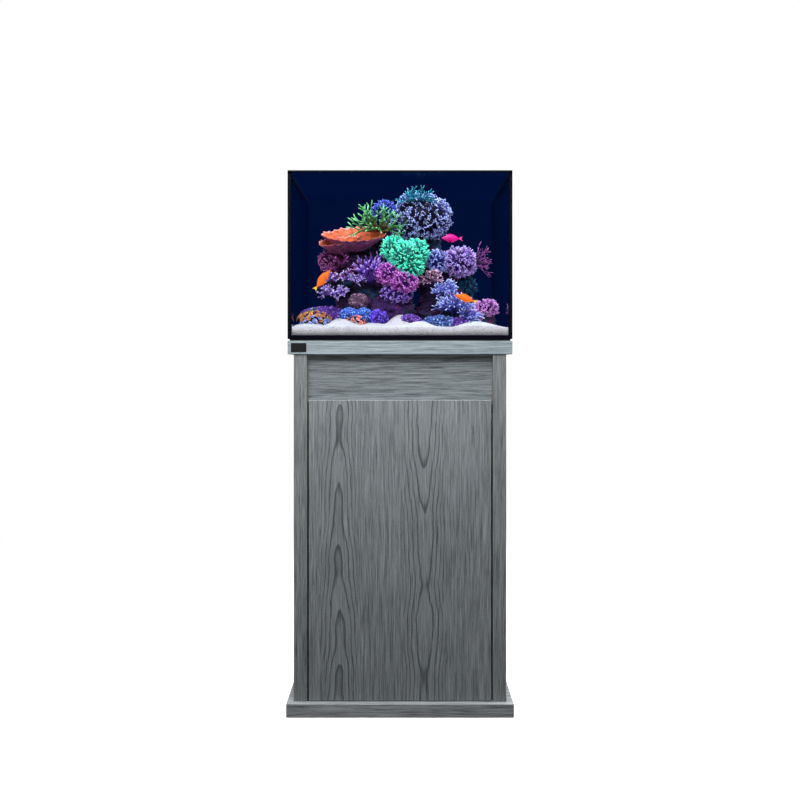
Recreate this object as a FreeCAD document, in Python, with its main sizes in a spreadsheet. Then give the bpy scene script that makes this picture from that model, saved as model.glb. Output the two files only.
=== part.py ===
import FreeCAD, Part
import math
import os

import Sketcher

# Rimless reef aquarium on its cabinet. Millimetres, +Z up, +X to the right of somebody facing the
# door, -Y towards them. The origin is the middle of the plinth's underside.

SIZES = [
    # tank
    ("tank_width", 600, "outside width of the glass"),
    ("tank_depth", 500, "outside depth of the glass"),
    ("tank_height", 450, "outside height of the glass"),
    ("glass", 8, "pane thickness"),
    ("seam", 2, "leg of a silicone bead"),
    ("mat", 5, "foam mat under the tank"),
    ("mat_inset", 5, "mat edge behind the glass edge"),
    ("sand", 26, "depth of the sand bed"),
    ("sand_gap", 0.6, "sand to the beads and the weir"),
    # cabinet
    ("cabinet_height", 1000, "floor to worktop"),
    ("worktop", 36, "worktop thickness"),
    ("side_overhang", 16, "worktop past a side panel"),
    ("front_overhang", 4, "worktop past the carcass front"),
    ("side_board", 36, "side panel thickness"),
    ("board", 18, "door, fascia, rail and bottom thickness"),
    ("back_board", 8, "back panel thickness"),
    ("edge_round", 0.8, "edge radius of the boards"),
    ("plinth", 36, "plinth height"),
    ("plinth_step", 18, "plinth in front of the worktop"),
    ("plinth_side", 2, "plinth past the worktop at a side"),
    ("fascia_show", 123, "fascia above the door"),
    ("door_gap", 4, "door to side panel"),
    ("door_clear", 2, "door to plinth, and door to fascia"),
    ("fascia_lap", 17, "fascia behind the door's top"),
    ("rail_height", 100, "rear rail"),
    ("outlet_width", 180, "cable outlet in the back panel"),
    ("outlet_height", 110, "cable outlet in the back panel"),
    ("badge_width", 41, "badge plate"),
    ("badge_height", 24, "badge plate"),
    ("badge_thick", 1, "badge plate"),
    ("badge_margin", 9, "badge plate to the worktop's end"),
    # door hardware
    ("barrel_radius", 1.8, "hinge knuckle"),
    ("pin_radius", 0.8, "hinge pin"),
    ("pin_play", 0.05, "pin in a knuckle, on the radius"),
    ("pin_back", 1, "pin axis behind the door's face"),
    ("leaf", 0.8, "hinge leaf thickness"),
    ("leaf_width", 15.5, "hinge leaf, from the pin"),
    ("hinge_end", 6, "hinge short of the door's ends"),
    ("knuckle_gap", 0.4, "between knuckles"),
    ("screw_radius", 1.5, "hinge screw shank"),
    ("screw_play", 0.2, "shank in a leaf"),
    ("screw_length", 12, "hinge screw in the board"),
    ("latch_width", 20, "push latch body"),
    ("latch_length", 60, "push latch body"),
    ("latch_back", 8, "latch body behind the door"),
    ("plunger_radius", 4, "push latch plunger"),
    ("plunger_play", 0.4, "plunger in its body, and short of the strike"),
    ("plunger_press", 3, "plunger travel"),
    ("strike", 1, "strike plate thickness"),
    # weir and pipes
    ("weir_width", 230, "outside of the weir box"),
    ("weir_depth", 94, "weir box, front to rear pane"),
    ("weir_drop", 16, "weir box below the rim"),
    ("acrylic", 5, "sheet of the weir box"),
    ("comb_reach", 14, "comb above and below the weir's edge"),
    ("comb_tooth", 6, "tooth and slot width"),
    ("pipe_radius", 16, "outside of a drain pipe"),
    ("pipe_wall", 2.5, "pipe wall"),
    ("return_radius", 12.5, "outside of the return pipe"),
    ("flange_radius", 28, "bulkhead flange and nut"),
    ("flange", 7, "bulkhead flange thickness"),
    ("nut", 12, "bulkhead nut thickness"),
    ("barrel_wall", 3.5, "bulkhead barrel over its pipe"),
    ("hole_play", 0.5, "barrel in the glass hole"),
    ("nut_play", 4, "nut in the worktop hole"),
    ("drain_x", -80, "main drain"),
    ("emergency_x", -6, "emergency drain"),
    ("return_x", 80, "return"),
    ("drain_drop", 95, "main standpipe below the rim"),
    ("emergency_drop", 30, "emergency standpipe below the rim"),
    ("nozzle_drop", 84, "return nozzle below the rim"),
    ("nozzle_play", 0.4, "ball in its socket"),
    ("ball_radius", 14, "nozzle ball"),
    ("gate_height", 640, "gate valve above the ground"),
    ("tap_height", 560, "return valve above the ground"),
    ("wheel_radius", 26, "gate valve wheel"),
    ("spindle_play", 0.05, "valve spindle in its bonnet"),
    # sump
    ("sump_width", 390, "outside of the sump"),
    ("sump_depth", 425, "outside of the sump"),
    ("sump_height", 340, "outside of the sump"),
    ("sump_glass", 6, "sump pane"),
    ("sump_mat", 6, "mat under the sump"),
    ("sump_right", 70, "sump end from the return pipe"),
    ("sump_behind", 6, "sump to the back panel"),
    ("trap_gap", 12, "between baffles"),
    ("baffle_low", 200, "low baffles above the sump floor"),
    ("baffle_lift", 30, "raised baffle above the sump floor"),
    ("sock_radius", 50, "filter sock"),
    ("sock_length", 190, "filter sock"),
    ("skimmer_radius", 55, "skimmer body"),
    ("skimmer_height", 262, "skimmer body"),
    ("cup_radius", 50, "skimmer cup"),
    ("cup_height", 96, "skimmer cup"),
    ("reservoir_width", 75, "top-up reservoir"),
    ("reservoir_height", 300, "top-up reservoir"),
    ("reservoir_gap", 15, "sump to reservoir"),
    ("plastic", 4, "reservoir wall"),
]


class Size:
    """A length as an expression on the sheet, with its present value."""

    def __init__(self, text, value):
        self.text = text
        self.value = value

    @staticmethod
    def of(thing):
        return thing if isinstance(thing, Size) else Size(f"({thing!r})", thing)

    def __add__(self, other):
        other = Size.of(other)
        return Size(f"({self.text} + {other.text})", self.value + other.value)

    def __sub__(self, other):
        other = Size.of(other)
        return Size(f"({self.text} - {other.text})", self.value - other.value)

    def __mul__(self, factor):
        return Size(f"({self.text} * {factor!r})", self.value * factor)

    def __truediv__(self, factor):
        return Size(f"({self.text} / {factor!r})", self.value / factor)

    def __neg__(self):
        return Size(f"(0 - {self.text})", -self.value)

    def __radd__(self, other):
        return Size.of(other) + self

    def __rsub__(self, other):
        return Size.of(other) - self


class Sheet:
    """The driving sizes, each by its alias."""


doc = FreeCAD.newDocument("AquariumOnStand")
sheet = doc.addObject("Spreadsheet::Sheet", "Sizes")
S = Sheet()
for row, (alias, value, note) in enumerate(SIZES, 1):
    sheet.set(f"A{row}", note)
    sheet.set(f"B{row}", str(value))
    sheet.setAlias(f"B{row}", alias)
    setattr(S, alias, Size(f"Sizes.{alias}", value))
doc.recompute()

Vector = FreeCAD.Vector
nodes = []


# ---------------------------------------------------------------- makers

def node(obj):
    """Marks an object as a finished sub-part, named by its Label."""
    nodes.append(obj)
    return obj


def bind(obj, prop, size):
    obj.setExpression(prop, Size.of(size).text)


def block(name, x, y, z):
    """A plain board between low and high faces on each axis."""
    obj = doc.addObject("Part::Box", name)
    for side, axis, (low, high) in zip(("Length", "Width", "Height"), "xyz", (x, y, z)):
        bind(obj, side, Size.of(high) - low)
        bind(obj, f"Placement.Base.{axis}", low)
    return obj


TURNS = {"x": FreeCAD.Rotation(Vector(0, 1, 0), 90),
         "y": FreeCAD.Rotation(Vector(1, 0, 0), -90),
         "z": FreeCAD.Rotation()}


def rod(name, radius, x, y, z, length, axis="z"):
    """A cylinder that starts at x, y, z and runs along axis."""
    obj = doc.addObject("Part::Cylinder", name)
    bind(obj, "Radius", radius)
    bind(obj, "Height", length)
    obj.Placement.Rotation = TURNS[axis]
    for letter, size in zip("xyz", (x, y, z)):
        bind(obj, f"Placement.Base.{letter}", size)
    return obj


def fuse(name, shapes):
    obj = doc.addObject("Part::MultiFuse", name)
    obj.Shapes = shapes
    return obj


def cut(name, base, tools):
    obj = doc.addObject("Part::Cut", name)
    obj.Base = base
    obj.Tool = tools[0] if len(tools) == 1 else fuse(f"{name}_tools", tools)
    return obj


def tube(name, radius, wall, x, y, z, length, axis="z"):
    """A pipe, open at both ends."""
    return cut(name, rod(f"{name}_out", radius, x, y, z, length, axis),
               [rod(f"{name}_bore", radius - wall, x, y, z, length, axis)])


def draw(sketch, points):
    """A closed outline whose corners are held by distances from the sketch's origin."""
    spots = [(Size.of(u), Size.of(v)) for u, v in points]
    first = sketch.GeometryCount
    count = len(spots)
    for i, (u, v) in enumerate(spots):
        after_u, after_v = spots[(i + 1) % count]
        sketch.addGeometry(Part.LineSegment(Vector(u.value, v.value, 0),
                                            Vector(after_u.value, after_v.value, 0)))
    for i, (u, v) in enumerate(spots):
        line = first + i
        sketch.addConstraint(Sketcher.Constraint("Coincident", line, 2, first + (i + 1) % count, 1))
        for kind, size in (("DistanceX", u), ("DistanceY", v)):
            datum = sketch.addConstraint(Sketcher.Constraint(kind, -1, 1, line, 1, size.value))
            bind(sketch, f"Constraints[{datum}]", size)


def draw_circle(sketch, u, v, radius):
    u, v, radius = Size.of(u), Size.of(v), Size.of(radius)
    ring = sketch.addGeometry(Part.Circle(Vector(u.value, v.value, 0), Vector(0, 0, 1), radius.value))
    for kind, size in (("DistanceX", u), ("DistanceY", v)):
        datum = sketch.addConstraint(Sketcher.Constraint(kind, -1, 1, ring, 3, size.value))
        bind(sketch, f"Constraints[{datum}]", size)
    datum = sketch.addConstraint(Sketcher.Constraint("Radius", ring, radius.value))
    bind(sketch, f"Constraints[{datum}]", radius)


def sketch_on(body, role, name):
    plane = next(f for f in body.Origin.OriginFeatures if f.Role == role)
    sketch = body.newObject("Sketcher::SketchObject", name)
    sketch.AttachmentSupport = [(plane, "")]
    sketch.MapMode = "FlatFace"
    return sketch


PLANES = {"x": ("YZ_Plane", "x"), "y": ("XZ_Plane", "y"), "z": ("XY_Plane", "z")}


def plate(name, axis, low, high, outline, holes=(), windows=(), rounding=None):
    """A board sketched across axis and padded from low to high, with round holes, windows and
    rounded long edges."""
    body = doc.addObject("PartDesign::Body", name)
    role, letter = PLANES[axis]
    low, high = Size.of(low), Size.of(high)
    sketch = sketch_on(body, role, f"{name}_outline")
    draw(sketch, outline)
    for u, v, radius in holes:
        draw_circle(sketch, u, v, radius)
    for window in windows:
        draw(sketch, window)
    pad = body.newObject("PartDesign::Pad", f"{name}_pad")
    pad.Profile = sketch
    bind(pad, "Length", high - low)
    # a pad on the XZ plane grows towards -Y, so that body stands at its high face
    bind(body, f"Placement.Base.{letter}", high if axis == "y" else low)
    if rounding is not None:
        doc.recompute()
        corners = [f"Edge{i + 1}" for i, edge in enumerate(pad.Shape.Edges)
                   if edge.Length > 3 * (high - low).value]
        fillet = body.newObject("PartDesign::Fillet", f"{name}_rounding")
        fillet.Base = (pad, corners)
        bind(fillet, "Radius", rounding)
        body.Tip = fillet
    return body


def turned(name, x, y, profile, z=0):
    """A solid of revolution about the vertical through x, y; profile holds radius and height."""
    body = doc.addObject("PartDesign::Body", name)
    sketch = sketch_on(body, "XZ_Plane", f"{name}_profile")
    draw(sketch, profile)
    spin = body.newObject("PartDesign::Revolution", f"{name}_spin")
    spin.Profile = sketch
    spin.ReferenceAxis = (sketch, ["V_Axis"])
    spin.Angle = 360.0
    for letter, size in zip("xyz", (x, y, z)):
        bind(body, f"Placement.Base.{letter}", size)
    return body


def boulder(name, centre, radii, sides=10, seed=0):
    """A faceted closed lump for rock, coral and other grown things."""
    rings = 5
    rows = []
    for r in range(1, rings):
        tilt = math.pi * r / rings
        row = []
        for k in range(sides):
            turn = 2 * math.pi * (k + 0.5 * (r % 2)) / sides
            bump = 1 - 0.05 * ((k * 7 + r * 3 + seed) % 4)
            row.append(Vector(centre[0] + radii[0] * bump * math.sin(tilt) * math.cos(turn),
                              centre[1] + radii[1] * bump * math.sin(tilt) * math.sin(turn),
                              centre[2] + radii[2] * math.cos(tilt)))
        rows.append(row)
    top = Vector(centre[0], centre[1], centre[2] + radii[2])
    foot = Vector(centre[0], centre[1], centre[2] - radii[2])
    faces = []

    def face(*corners):
        faces.append(Part.Face(Part.makePolygon(list(corners) + [corners[0]])))

    for k in range(sides):
        after = (k + 1) % sides
        face(top, rows[0][k], rows[0][after])
        face(foot, rows[-1][after], rows[-1][k])
        for r in range(len(rows) - 1):
            upper, lower = rows[r], rows[r + 1]
            if r % 2 == 0:
                face(upper[k], lower[k], upper[after])
                face(upper[after], lower[k], lower[after])
            else:
                face(upper[k], lower[k], lower[after])
                face(upper[k], lower[after], upper[after])
    solid = Part.makeSolid(Part.makeShell(faces))
    if solid.Volume < 0:
        solid.reverse()
    obj = doc.addObject("Part::Feature", name)
    obj.Shape = solid
    return obj


# ---------------------------------------------------------------- levels and planes

plinth_depth = S.tank_depth + S.plinth_step
plinth_width = S.tank_width + S.plinth_side * 2
rear = plinth_depth / 2
top_front = rear - S.tank_depth
half_top = S.tank_width / 2
half_carcass = half_top - S.side_overhang
half_inside = half_carcass - S.side_board
carcass_front = top_front + S.front_overhang
worktop_under = S.cabinet_height - S.worktop
tank_foot = S.cabinet_height + S.mat
tank_floor = tank_foot + S.glass
rim = tank_foot + S.tank_height
glass_front = top_front + S.glass
glass_rear = rear - S.glass
half_water = half_top - S.glass

pipe_y = glass_rear - S.weir_depth / 2
barrel_radius = S.pipe_radius + S.barrel_wall
hole_radius = barrel_radius + S.hole_play
nut_hole = S.flange_radius + S.nut_play
drops = [S.drain_x, S.emergency_x, S.return_x]


def rectangle(u, v):
    return [(u[0], v[0]), (u[1], v[0]), (u[1], v[1]), (u[0], v[1])]


# ---------------------------------------------------------------- cabinet

def cabinet():
    node(plate("plinth", "z", 0, S.plinth,
               rectangle((-plinth_width / 2, plinth_width / 2), (-rear, rear)), rounding=S.edge_round))
    for name, low in (("side_panel_left", -half_carcass), ("side_panel_right", half_inside)):
        node(plate(name, "x", low, low + S.side_board,
                   rectangle((carcass_front, rear), (S.plinth, worktop_under)), rounding=S.edge_round))
    node(plate("worktop", "z", worktop_under, S.cabinet_height,
               rectangle((-half_top, half_top), (top_front, rear)),
               holes=[(x, pipe_y, nut_hole) for x in drops], rounding=S.edge_round))
    node(block("bottom_panel", (-half_inside, half_inside), (fascia_front, rear - S.back_board),
               (S.plinth, S.plinth + S.board)))
    outlet_left = half_inside - S.outlet_width - S.board
    outlet_top = worktop_under - S.rail_height - S.board
    node(plate("back_panel", "y", rear - S.back_board, rear,
               rectangle((-half_inside, half_inside), (S.plinth, worktop_under)),
               windows=[rectangle((outlet_left, outlet_left + S.outlet_width),
                                  (outlet_top - S.outlet_height, outlet_top))]))
    node(block("rear_rail", (-half_inside, half_inside),
               (rear - S.back_board - S.board, rear - S.back_board),
               (worktop_under - S.rail_height, worktop_under)))
    node(plate("fascia_panel", "y", fascia_front, fascia_front + S.board,
               rectangle((-half_inside, half_inside), (door_top - S.fascia_lap, worktop_under))))
    badge_low = -half_top + S.badge_margin
    badge_mid = worktop_under + S.worktop / 2
    node(plate("badge_plate", "y", top_front - S.badge_thick, top_front,
               rectangle((badge_low, badge_low + S.badge_width),
                         (badge_mid - S.badge_height / 2, badge_mid + S.badge_height / 2))))
    pads = [rod(f"bumper_{side}", 4, x, door_back, door_top - S.fascia_lap / 2, S.door_clear - 0.3, "y")
            for side, x in (("a", half_inside - 26), ("b", -half_inside + 26))]
    for pad in pads:
        bind(pad, "Placement.Base.y", door_back + 0.3)
    node(fuse("door_bumpers", pads))


door_left = -half_inside + S.door_gap
door_right = half_inside - S.door_gap
door_foot = S.plinth + S.door_clear
door_top = worktop_under - S.fascia_show
door_back = carcass_front + S.board
fascia_front = door_back + S.door_clear


def carcass_screws():
    """Confirmat screws through the side panels into the bottom, the rail and the fascia."""
    heads = []
    spots = [("a", carcass_front + 60, S.plinth + S.board / 2), ("b", rear - 60, S.plinth + S.board / 2),
             ("c", rear - S.back_board - S.board / 2, worktop_under - 50),
             ("d", fascia_front + S.board / 2, worktop_under - 60)]
    reach = S.side_board + 24
    for letter, y, z in spots:
        heads.append(rod(f"screw_l{letter}", 3.5, -half_carcass, y, z, reach, "x"))
        heads.append(rod(f"screw_r{letter}", 3.5, half_carcass - reach, y, z, reach, "x"))
    node(fuse("carcass_screws", heads))


# ---------------------------------------------------------------- door, hinge and latch

def door():
    node(plate("door", "y", carcass_front, door_back,
               rectangle((door_left, door_right), (door_foot, door_top)), rounding=S.edge_round))


KNUCKLES = 19


def hinge():
    """A continuous hinge: two leaves in the door's gap, with knuckles by turns, and one pin."""
    pin_x = (door_left - half_inside) / 2
    low = door_foot + S.hinge_end
    length = door_top - door_foot - S.hinge_end * 2
    pitch = length / KNUCKLES
    bore = S.pin_radius + S.pin_play
    pin_y = carcass_front + S.pin_back
    leaf_low = pin_y + S.barrel_radius / 3
    screw_y = carcass_front + S.board / 2 + 1
    screw_rows = [low + length * share for share in (0.04, 0.27, 0.5, 0.73, 0.96)]
    for name, first, plate_x, head_x, run in (
            ("hinge_leaf_fixed", 0, -half_inside, -half_inside + S.leaf, -1),
            ("hinge_leaf_door", 1, door_left - S.leaf, door_left - S.leaf, 1)):
        parts = [block(f"{name}_flat", (plate_x, plate_x + S.leaf), (leaf_low, pin_y + S.leaf_width),
                       (low, low + length))]
        reliefs = []
        for k in range(KNUCKLES):
            at = low + pitch * k
            if k % 2 == first:
                parts.append(rod(f"{name}_k{k}", S.barrel_radius, pin_x, pin_y,
                                 at + S.knuckle_gap / 2, pitch - S.knuckle_gap))
            else:
                reliefs.append(rod(f"{name}_r{k}", S.barrel_radius + S.knuckle_gap, pin_x, pin_y,
                                   at - S.knuckle_gap / 2, pitch + S.knuckle_gap))
        reliefs.append(rod(f"{name}_bore", bore, pin_x, pin_y, low - 1, length + 2))
        for k, at in enumerate(screw_rows):
            reliefs.append(rod(f"{name}_s{k}", S.screw_radius + S.screw_play, plate_x - 1, screw_y, at,
                               S.leaf + 2, "x"))
        node(cut(name, fuse(f"{name}_solid", parts), reliefs))
        screws = []
        for k, at in enumerate(screw_rows):
            if run < 0:
                start, head = head_x - S.screw_length, head_x
            else:
                start, head = head_x, head_x - S.leaf
            screws.append(rod(f"{name}_shank{k}", S.screw_radius, start, screw_y, at,
                              S.screw_length, "x"))
            screws.append(rod(f"{name}_head{k}", S.screw_radius * 2, head, screw_y, at, S.leaf, "x"))
        node(fuse(name.replace("leaf", "screws"), screws))
    node(rod("hinge_pin", S.pin_radius, pin_x, pin_y, low, length))


def push_latch():
    """Sprung plunger in a body on the right-hand side panel, and its strike on the door."""
    middle_x = half_inside - S.latch_width / 2
    middle_z = door_top - S.fascia_lap - 30
    body_front = door_back + S.latch_back
    body = block("push_latch_case", (half_inside - S.latch_width, half_inside),
                 (body_front, body_front + S.latch_length),
                 (middle_z - S.latch_width / 2, middle_z + S.latch_width / 2))
    well = S.latch_length / 2
    bore = rod("push_latch_bore", S.plunger_radius + S.plunger_play, middle_x, body_front - 1, middle_z,
               well + 1, "y")
    node(cut("push_latch_body", body, [bore]))
    tip = door_back + S.strike + S.plunger_play
    node(rod("push_latch_plunger", S.plunger_radius, middle_x, tip, middle_z,
             body_front + well - S.plunger_press - S.plunger_play - tip, "y"))
    node(block("latch_strike", (middle_x - 9, door_right - 1), (door_back, door_back + S.strike),
               (middle_z - 9, middle_z + 9)))


# ---------------------------------------------------------------- tank

def tank():
    mat_half = half_top - S.mat_inset
    hole_rows = [(x, pipe_y, nut_hole) for x in drops]
    node(plate("tank_mat", "z", S.cabinet_height, tank_foot,
               rectangle((-mat_half, mat_half), (top_front + S.mat_inset, rear - S.mat_inset)),
               holes=hole_rows))
    node(plate("tank_base_pane", "z", tank_foot, tank_floor,
               rectangle((-half_top, half_top), (top_front, rear)),
               holes=[(x, pipe_y, hole_radius) for x in drops]))
    node(block("tank_front_pane", (-half_top, half_top), (top_front, glass_front), (tank_floor, rim)))
    node(block("tank_rear_pane", (-half_top, half_top), (glass_rear, rear), (tank_floor, rim)))
    node(block("tank_left_pane", (-half_top, -half_water), (glass_front, glass_rear), (tank_floor, rim)))
    node(block("tank_right_pane", (half_water, half_top), (glass_front, glass_rear), (tank_floor, rim)))
    bead = S.seam
    bead_top = rim - S.seam
    beads = []
    for side, x in (("l", (-half_water, -half_water + bead)), ("r", (half_water - bead, half_water))):
        for end, y in (("f", (glass_front, glass_front + bead)), ("b", (glass_rear - bead, glass_rear))):
            beads.append(block(f"bead_{side}{end}", x, y, (tank_floor, bead_top)))
        beads.append(block(f"bead_{side}", x, (glass_front, glass_rear), (tank_floor, tank_floor + bead)))
    beads.append(block("bead_front", (-half_water, half_water), (glass_front, glass_front + bead),
                       (tank_floor, tank_floor + bead)))
    half_weir = S.weir_width / 2 + 0.3
    for side, x in (("l", (-half_water, -half_weir)), ("r", (half_weir, half_water))):
        beads.append(block(f"bead_rear_{side}", x, (glass_rear - bead, glass_rear),
                           (tank_floor, tank_floor + bead)))
    node(fuse("silicone_seams", beads))

    edge = half_water - S.seam - S.sand_gap
    front = glass_front + S.seam + S.sand_gap
    back = glass_rear - S.seam - S.sand_gap
    notch = S.weir_width / 2 + S.sand_gap
    notch_front = glass_rear - S.weir_depth - S.sand_gap
    node(plate("sand_bed", "z", tank_floor, tank_floor + S.sand,
               [(-edge, front), (edge, front), (edge, back), (notch, back), (notch, notch_front),
                (-notch, notch_front), (-notch, back), (-edge, back)]))


# ---------------------------------------------------------------- weir and pipes

def weir():
    half = S.weir_width / 2
    front = glass_rear - S.weir_depth
    top = rim - S.weir_drop
    walls = [block("weir_front", (-half, half), (front, front + S.acrylic), (tank_floor, top)),
             block("weir_left", (-half, -half + S.acrylic), (front, glass_rear), (tank_floor, top)),
             block("weir_right", (half - S.acrylic, half), (front, glass_rear), (tank_floor, top))]
    port = rod("weir_port", S.return_radius + S.hole_play, S.return_x, front - 1,
               rim - S.nozzle_drop, S.acrylic + 2, "y")
    node(cut("weir_box", fuse("weir_walls", walls), [port]))

    strip = block("comb_strip", (-half, half), (front - S.acrylic, front),
                  (top - S.comb_reach, top + S.comb_reach))
    slots = []
    pitch = S.comb_tooth * 2
    count = int((S.weir_width.value - S.comb_tooth.value) // pitch.value)
    start = -(pitch * count) / 2 + S.comb_tooth / 2
    for k in range(count):
        low = start + pitch * k
        slots.append(block(f"comb_slot{k}", (low, low + S.comb_tooth), (front - S.acrylic - 1, front + 1),
                           (top, top + S.comb_reach + 1)))
    node(cut("weir_comb", strip, slots))


def bulkheads():
    flange_top = tank_floor + S.flange
    nut_top = tank_foot
    nut_low = nut_top - S.nut
    tail = nut_low - 24
    fittings, nuts = [], []
    for k, x in enumerate(drops):
        fittings.append(rod(f"bulkhead_flange{k}", S.flange_radius, x, pipe_y, tank_floor, S.flange))
        fittings.append(rod(f"bulkhead_barrel{k}", barrel_radius, x, pipe_y, tail, flange_top - tail))
        nuts.append(rod(f"bulkhead_nut{k}", S.flange_radius, x, pipe_y, nut_low, S.nut))
    bores = [rod(f"bulkhead_bore{k}", S.pipe_radius, x, pipe_y, tail - 1, flange_top - tail + 2)
             for k, x in enumerate(drops)]
    node(cut("bulkhead_fittings", fuse("bulkhead_solids", fittings), bores))
    threads = [rod(f"nut_thread{k}", barrel_radius, x, pipe_y, nut_low - 1, S.nut + 2)
               for k, x in enumerate(drops)]
    node(cut("bulkhead_nuts", fuse("nut_solids", nuts), threads))


def pipes():
    meet = tank_floor - S.glass / 2
    gate_half, tap_half = 34, 30
    sock_top = sump_floor_z() + S.sump_height - S.sump_glass
    node(fuse("standpipes", [
        tube(f"{name}_standpipe", S.pipe_radius, S.pipe_wall, x, pipe_y, meet, rim - drop - meet)
        for name, x, drop in (("drain", S.drain_x, S.drain_drop),
                              ("emergency", S.emergency_x, S.emergency_drop))]))
    node(fuse("drain_pipes", [
        tube("drain_upper", S.pipe_radius, S.pipe_wall, S.drain_x, pipe_y, S.gate_height + gate_half,
             meet - S.gate_height - gate_half),
        tube("drain_lower", S.pipe_radius, S.pipe_wall, S.drain_x, pipe_y, sock_top - 30,
             S.gate_height - gate_half - sock_top + 30),
        tube("emergency_drop", S.pipe_radius, S.pipe_wall, S.emergency_x, pipe_y, sock_top - 20,
             meet - sock_top + 20)]))

    level = rim - S.nozzle_drop
    front = glass_rear - S.weir_depth
    bend_out = S.return_radius + 2
    riser = fuse("return_riser_solid", [
        rod("riser_pipe", S.return_radius, S.return_x, pipe_y, tank_floor + S.flange,
            level - tank_floor - S.flange),
        rod("riser_plug", S.pipe_radius, S.return_x, pipe_y, meet, tank_floor + S.flange - meet),
        rod("riser_elbow", bend_out, S.return_x, pipe_y, level - bend_out, bend_out * 2),
        rod("riser_stub", S.return_radius, S.return_x, front - S.acrylic - 6, level,
            pipe_y - front + S.acrylic + 6, "y")])
    inner = S.return_radius - S.pipe_wall
    node(cut("return_riser", riser, [
        rod("riser_bore", inner, S.return_x, pipe_y, meet - 1, level - meet + 1),
        rod("riser_outlet", inner, S.return_x, front - S.acrylic - 7, level,
            pipe_y - front + S.acrylic + 7, "y")]))
    pump_top = sump_floor_z() + S.sump_glass + 100
    tail = tank_foot - S.nut - 24
    node(cut("return_pipe", fuse("return_pipe_solid", [
        rod("return_run", S.return_radius, S.return_x, pipe_y, S.tap_height + tap_half,
            meet - S.tap_height - tap_half),
        rod("return_plug", S.pipe_radius, S.return_x, pipe_y, tail, meet - tail),
        rod("return_lower", S.return_radius, S.return_x, pipe_y, pump_top,
            S.tap_height - tap_half - pump_top)]),
        [rod("return_bore", inner, S.return_x, pipe_y, pump_top - 1, meet - pump_top + 2)]))
    gate_valve(gate_half)
    return_tap(tap_half)


def gate_valve(half):
    """Gate valve in the main drain, with a handwheel that faces the door."""
    bonnet = 34
    wheel_y = pipe_y - S.pipe_radius - bonnet
    solid = fuse("gate_solid", [
        rod("gate_run", S.pipe_radius + 4, S.drain_x, pipe_y, S.gate_height - half, Size.of(half * 2)),
        block("gate_slot", (S.drain_x - S.pipe_radius - 9, S.drain_x + S.pipe_radius + 9),
              (pipe_y - S.pipe_radius - 6, pipe_y + S.pipe_radius + 6),
              (S.gate_height - 9, S.gate_height + 9)),
        rod("gate_bonnet", 13, S.drain_x, wheel_y, S.gate_height, Size.of(bonnet), "y")])
    stem = 5
    node(cut("gate_valve_body", solid, [
        rod("gate_bore", S.pipe_radius - S.pipe_wall, S.drain_x, pipe_y, S.gate_height - half - 1,
            Size.of(half * 2 + 2)),
        rod("gate_stem_bore", stem + S.spindle_play, S.drain_x, wheel_y - 1, S.gate_height,
            Size.of(24), "y")]))
    wheel = rod("wheel_disc", S.wheel_radius, S.drain_x, wheel_y - 12, S.gate_height, Size.of(10), "y")
    grips = []
    for k in range(6):
        turn = math.pi * k / 3
        grips.append(rod(f"wheel_grip{k}", 6, S.drain_x + S.wheel_radius * math.cos(turn), wheel_y - 13,
                         S.gate_height + S.wheel_radius * math.sin(turn), Size.of(12), "y"))
    spindle = rod("wheel_spindle", stem, S.drain_x, wheel_y - 12, S.gate_height, Size.of(34), "y")
    node(fuse("gate_valve_wheel", [cut("wheel_fluted", wheel, grips), spindle]))


def return_tap(half):
    """Quarter-turn valve in the return pipe, with a lever that lies along the pipe when open."""
    lever_y = pipe_y - S.return_radius - 24
    solid = fuse("tap_solid", [
        rod("tap_run", S.return_radius + 4, S.return_x, pipe_y, S.tap_height - half, Size.of(half * 2)),
        rod("tap_belly", S.return_radius + 9, S.return_x, pipe_y, S.tap_height - 15, Size.of(30)),
        rod("tap_neck", 9, S.return_x, lever_y, S.tap_height, Size.of(24), "y")])
    stem = 4
    node(cut("return_tap_body", solid, [
        rod("tap_bore", S.return_radius - S.pipe_wall, S.return_x, pipe_y, S.tap_height - half - 1,
            Size.of(half * 2 + 2)),
        rod("tap_stem_bore", stem + S.spindle_play, S.return_x, lever_y - 1, S.tap_height,
            Size.of(14), "y")]))
    node(fuse("return_tap_lever", [
        rod("lever_hub", 11, S.return_x, lever_y - 10, S.tap_height, Size.of(9), "y"),
        rod("lever_stem", stem, S.return_x, lever_y - 10, S.tap_height, Size.of(22), "y"),
        block("lever_arm", (S.return_x - 6, S.return_x + 6), (lever_y - 10, lever_y - 5),
              (S.tap_height, S.tap_height + 52))]))


def return_nozzle():
    """Ball nozzle on the riser's outlet; it swings about the upright through the ball."""
    level = rim - S.nozzle_drop
    ball_y = glass_rear - S.weir_depth - S.acrylic - 6 - S.nozzle_play - S.ball_radius
    ball = doc.addObject("Part::Sphere", "nozzle_ball")
    bind(ball, "Radius", S.ball_radius)
    for letter, size in zip("xyz", (S.return_x, ball_y, level)):
        bind(ball, f"Placement.Base.{letter}", size)
    spout = doc.addObject("Part::Cone", "nozzle_spout")
    bind(spout, "Radius1", S.ball_radius - 3)
    bind(spout, "Radius2", S.ball_radius - 7)
    spout.Height = 46
    spout.Placement.Rotation = FreeCAD.Rotation(Vector(1, 0, 0), 90)
    for letter, size in zip("xyz", (S.return_x, ball_y, level)):
        bind(spout, f"Placement.Base.{letter}", size)
    node(cut("return_nozzle", fuse("nozzle_solid", [ball, spout]),
             [rod("nozzle_bore", S.ball_radius - 9, S.return_x, ball_y - 47, level,
                  S.ball_radius + 46, "y")]))


# ---------------------------------------------------------------- sump

def sump_floor_z():
    """Underside of the sump's glass."""
    return S.plinth + S.board + S.sump_mat


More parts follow.
